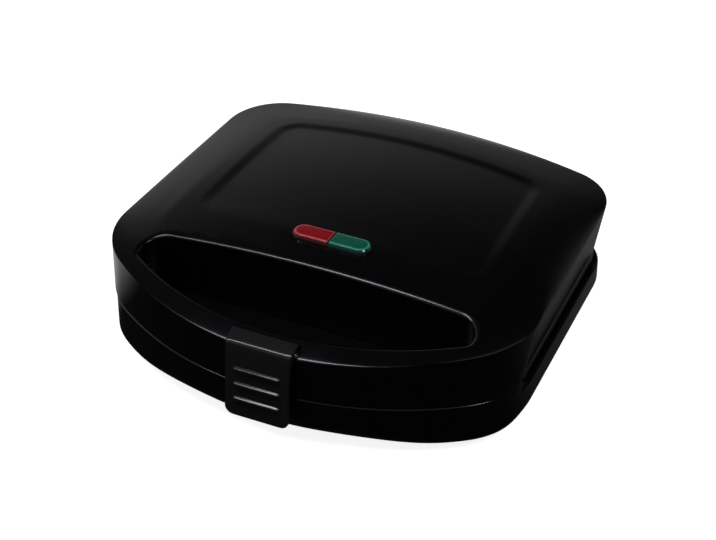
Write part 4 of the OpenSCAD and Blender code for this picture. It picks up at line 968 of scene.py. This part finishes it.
# %% Ceramic, terminal plastic and lamps
ceramic = finish("ceramic", (0.72, 0.7, 0.64), (0.45, 0.6, 90.0), None,
                 ("fine_grain", "Height", {"Scale": 260.0}, (0.62, 0.6, 0.54), (0.8, 0.78, 0.72)))
terminal = finish("terminal_plastic", (0.7, 0.68, 0.62), (0.35, 0.5, 60.0), None,
                  ("fine_grain", "Height", {"Scale": 120.0}, (0.62, 0.6, 0.54), (0.74, 0.72, 0.66)))


def lamp_glass(name, dark, light):
    return finish(name, light, (0.1, 0.2, 200.0), None,
                  ("fine_grain", "Height", {"Scale": 700.0}, dark, light),
                  Transmission_Weight=0.6, IOR=1.5)


lamp_red = lamp_glass("lamp_red_glass", (0.6, 0.12, 0.08), (0.95, 0.35, 0.25))
lamp_green = lamp_glass("lamp_green_glass", (0.1, 0.5, 0.3), (0.4, 0.9, 0.6))

# %% [markdown]
# ## Lens plastic
# The lens is dyed through. A colour ramp on the height paints shade on its flank and a highlight
# along the bevel round its top. Faint facets break up the top and paint sparkle into its colour.

# %% Lens plastic: dyed, painted shade on the flank, a painted highlight on the top's edge, faint facets
PAINTED_LIGHT_HEIGHT = 2.0


def lens_plastic(name, shaded_flank, top, edge):
    """Dyed plastic: painted shade on its flank, painted highlight on its top's edge, painted facet
    sparkle.
    """
    made, tree, shader, place = material(name, top, Transmission_Weight=0.1, IOR=1.49)
    up = node(tree, "ShaderNodeSeparateXYZ", {"Vector": place})
    share = node(tree, "ShaderNodeMapRange",
                 {"Value": up.outputs["Z"], "From Min": (lens_top - PAINTED_LIGHT_HEIGHT) * MM,
                  "From Max": lens_top * MM})
    ramp = node(tree, "ShaderNodeValToRGB", {"Fac": share.outputs["Result"]})
    ramp.color_ramp.elements[0].color = (*shaded_flank, 1)
    ramp.color_ramp.elements[1].color = (*top, 1)
    # The flank's colour paints shade low on the cap, and the edge colour a highlight along the top's
    # edge.
    for at, colour in ((0.55, shaded_flank), (0.7, top), (0.79, top), (0.86, edge), (0.93, edge),
                       (0.985, top)):
        ramp.color_ramp.elements.new(at).color = (*colour, 1)
    facets = node(tree, "ShaderNodeTexVoronoi", {"Vector": place, "Scale": 620.0})
    # The facets paint sparkle: spots of the flank's darker colour mixed into the top's colour.
    painted_sparkle = node(tree, "ShaderNodeMapRange",
                   {"Value": facets.outputs["Distance"], "From Min": 0.1, "From Max": 0.75,
                    "To Min": 0.3, "To Max": 0.0})
    two_tone(tree, shader, painted_sparkle.outputs["Result"], ramp.outputs["Color"], shaded_flank)
    uneven(tree, shader, place, 0.05, 0.12, 200.0)
    bumped(tree, shader, facets.outputs["Distance"], 0.12, 0.0002)
    return made


# Each lens: its shaded flank's colour, its top's own colour and its painted edge highlight.
lens_red_plastic = lens_plastic(
    "lens_red_plastic", (0.03, 0.002, 0.003), (0.36, 0.006, 0.012), (0.8, 0.13, 0.17))
lens_green_plastic = lens_plastic(
    "lens_green_plastic", (0.001, 0.025, 0.017), (0.002, 0.13, 0.075), (0.06, 0.5, 0.33))
print("lens plastics:", lens_red_plastic.name, lens_green_plastic.name)


# %% [markdown]
# ## Finishes for the nodes that stay
# The smaller pieces of the machine model are right as they are. Their meshes are loose triangles, so
# a Weld modifier joins them, and on some of them a narrow Bevel gives their edges the small radius
# of a real piece.

# %% Assigning materials
def dress(piece, finished):
    piece.data.materials.clear()
    piece.data.materials.append(finished)


for piece, finished in ((lid_housing, gloss_black), (base_housing, gloss_black), (latch, latch_sheen_black),
                        (lens_red, lens_red_plastic), (lens_green, lens_green_plastic)):
    dress(piece, finished)
FINISH = {
    "bottom_cover": satin_black, "lid_inner_frame": satin_black, "lamp_holder": satin_black,
    "cord_bushing": rubber, "foot_front_left": rubber, "foot_front_right": rubber,
    "foot_rear_left": rubber, "foot_rear_right": rubber, "lower_plate": coating, "upper_plate": coating,
    "lower_heat_shield": sheet, "upper_heat_shield": sheet, "thermostat": ceramic,
    "thermal_fuse": ceramic, "terminal_block": terminal, "lamp_red": lamp_red, "lamp_green": lamp_green}
WELD_REACH, SHARP_ANGLE = 0.00001, 40
SHARP = {"bottom_cover": 0.25, "lid_inner_frame": 0.25, "lower_plate": 0.3, "upper_plate": 0.3,
         "hinge_pin_left": 0.2, "hinge_pin_right": 0.2, "latch_pin": 0.2, "terminal_block": 0.25,
         "bottom_cover_screws": 0.15, "lid_frame_screws": 0.15, "cord_bushing": 0.15}
for name, piece in sorted(nodes.items()):
    if piece.hide_render:
        continue
    dress(piece, FINISH.get(name, steel))
    piece.modifiers.new("weld", "WELD").merge_threshold = WELD_REACH
    if name in SHARP:
        bevel = piece.modifiers.new("bevel", "BEVEL")
        bevel.width, bevel.segments = SHARP[name] * MM, 2
        bevel.limit_method, bevel.angle_limit = "ANGLE", math.radians(SHARP_ANGLE)
    print(f"{name}: {piece.data.materials[0].name}")

# %% [markdown]
# ## Floor and surroundings
# The floor is one large pale sheet. Black gloss shows little of itself and mostly what stands around
# it, so the surroundings are made for what they draw on it. The camera sees the floor white. In the
# plastic it is nearly black, as a studio's dark table would be, with two pale patches: a dim one
# behind the toaster and a bright one behind it on the left. A Light Path node tells the rays apart.

# %% Floor
FLOOR_SIZE, FLOOR_WHITE, FLOOR_DARK = 12, 0.86, 0.012
# Each pale patch: the direction it lies in, where it starts and is full, and how bright it is
FLOOR_PATCHES = (((0.3, 0.95, 0.0), -0.05, 0.35, 0.17), ((-0.7, 0.7, 0.0), 0.048, 0.1, 0.55))
deselect()
bpy.ops.mesh.primitive_grid_add(x_subdivisions=2, y_subdivisions=2, size=FLOOR_SIZE)
floor = bpy.context.object
floor.name = "floor"
pale, tree, shader, place = material(
    "pale_floor", (0.85, 0.85, 0.85), Roughness=0.9, Specular_IOR_Level=0.1)
shader.inputs["Emission Color"].default_value = (1, 1, 1, 1)
shader.inputs["Emission Strength"].default_value = FLOOR_WHITE
cloth = node(tree, "ShaderNodeEmission", {"Color": (1, 1, 1, 1)})


def glow_along(tree, place, way, start, end, dark, bright):
    """A soft step in brightness along one direction."""
    along = node(tree, "ShaderNodeVectorMath", {0: place, 1: way}, operation="DOT_PRODUCT")
    glow = node(tree, "ShaderNodeMapRange",
                {"Value": along.outputs["Value"], "From Min": start, "From Max": end,
                 "To Min": dark, "To Max": bright}, interpolation_type="SMOOTHSTEP")
    return glow.outputs["Result"]


def calculate(tree, first, second, operation):
    """One Math node's result."""
    return node(tree, "ShaderNodeMath", {0: first, 1: second}, operation=operation).outputs[0]


patches = [glow_along(tree, place, way, start, end, FLOOR_DARK, bright)
           for way, start, end, bright in FLOOR_PATCHES]
tree.links.new(calculate(tree, patches[0], patches[1], "MAXIMUM"), cloth.inputs["Strength"])
light_path = tree.nodes.new("ShaderNodeLightPath")
choose = node(tree, "ShaderNodeMixShader", {"Fac": light_path.outputs["Is Camera Ray"]})
tree.links.new(cloth.outputs["Emission"], choose.inputs[1])
tree.links.new(shader.outputs["BSDF"], choose.inputs[2])
tree.links.new(choose.outputs["Shader"], tree.nodes["Material Output"].inputs["Surface"])
dress(floor, pale)
print("floor:", FLOOR_SIZE, "m square, with", len(patches), "pale patches")

# %% World: a pale wall on the left that fades upwards, and dim walls on the right and in front
# The walls' directions, and the left wall's brightness at each height from level (0) to overhead (1)
LEFT_WALL, RIGHT_WALL, FRONT_WALL = (-0.98, 0.2, 0.0), (0.6, 0.69, 0.4), (0.0, -0.93, 0.37)
WALL_POWER = 2.6
WALL_FADE = ((0.0, 0.14), (0.17, 0.17), (0.34, 0.18), (0.44, 0.15), (0.57, 0.07), (0.68, 0.012),
             (1.0, 0.02))
world = bpy.data.worlds.new("studio")
bpy.context.scene.world = world
world.use_nodes = True
tree = world.node_tree
background = tree.nodes["Background"]
way = tree.nodes.new("ShaderNodeTexCoord").outputs["Generated"]
left = node(tree, "ShaderNodeVectorMath", {0: way, 1: LEFT_WALL}, operation="DOT_PRODUCT")
linear = node(tree, "ShaderNodeMapRange",
              {"Value": left.outputs["Value"], "From Min": 0.0, "From Max": 0.72,
               "To Min": 0.2, "To Max": 1.36})
wall_share = calculate(tree, linear.outputs["Result"], WALL_POWER, "POWER")
up = node(tree, "ShaderNodeSeparateXYZ", {"Vector": way})
fade = node(tree, "ShaderNodeValToRGB", {"Fac": up.outputs["Z"]})
ramp = fade.color_ramp
ramp.elements[0].color = (WALL_FADE[0][1],) * 3 + (1,)
ramp.elements[1].color = (WALL_FADE[-1][1],) * 3 + (1,)
for at, bright in WALL_FADE[1:-1]:
    ramp.elements.new(at).color = (bright,) * 3 + (1,)
left_wall = calculate(tree, fade.outputs["Color"], wall_share, "MULTIPLY")
right_wall = glow_along(tree, way, RIGHT_WALL, 0.8, 1.0, 0.008, 0.24)
front_wall = glow_along(tree, way, FRONT_WALL, 0.2, 0.9, 0.0, 0.22)
room = calculate(tree, left_wall, calculate(tree, right_wall, front_wall, "ADD"), "ADD")
seen = tree.nodes.new("ShaderNodeLightPath")
strength = calculate(tree, room, seen.outputs["Is Camera Ray"], "MAXIMUM")
tree.links.new(strength, background.inputs["Strength"])
background.inputs["Color"].default_value = (1, 1, 1, 1)
print("world:", len(WALL_FADE), "steps of height on the left wall")

# %% [markdown]
# ## Soft boxes
# Three soft boxes stand around the toaster. The long one in front, on the left, draws the bright
# lines on the latch's ribs and along the rounded edges. The other two only soften the dark sides.


# %% Soft boxes
def soft_light(name, place, aim, width, height, watts):
    """A rectangular soft box that faces a point."""
    deselect()
    way = Vector(aim) - Vector(place)
    bpy.ops.object.light_add(type="AREA", location=place,
                             rotation=way.to_track_quat("-Z", "Y").to_euler())
    lamp = bpy.context.object
    lamp.name = lamp.data.name = name
    lamp.data.shape, lamp.data.size, lamp.data.size_y = "RECTANGLE", width, height
    lamp.data.energy = watts
    print(f"{name}: {width} by {height} m, {watts} W")


soft_light("rib_box", (-0.62, -0.42, 1.45), (0, -0.1, 0.03), 0.15, 1.0, 7.5)
soft_light("left_box", (-1.5, -0.15, 1.15), (0, 0, 0.03), 0.5, 0.5, 0.6)
soft_light("right_box", (1.2, -0.4, 1.5), (0, 0, 0.03), 0.5, 0.4, 8)
bpy.context.scene.view_settings.view_transform = "Standard"

# %% [markdown]
# ## Camera
# The place, the aim and the focal length were found by fitting the housing's outline and edges to
# the photograph's. It is a long lens from above and to the right, as a product photographer's is.

# %% Camera at the photograph's angle
CAMERA_PLACE, CAMERA_AIM = (0.4190, -0.8895, 0.7190), (0.00276, -0.00375, 0.0372)
SENSOR_WIDTH, FOCAL_LENGTH = 36.0, 113.14
bpy.ops.object.camera_add(location=CAMERA_PLACE)
camera = bpy.context.object
camera.name = "camera"
aim = Vector(CAMERA_AIM) - camera.location
camera.rotation_euler = aim.to_track_quat("-Z", "Y").to_euler()
camera.data.sensor_width, camera.data.lens = SENSOR_WIDTH, FOCAL_LENGTH
camera.data.clip_start = 0.01
bpy.context.scene.camera = camera
print("camera distance:", round(aim.length, 3), "m")
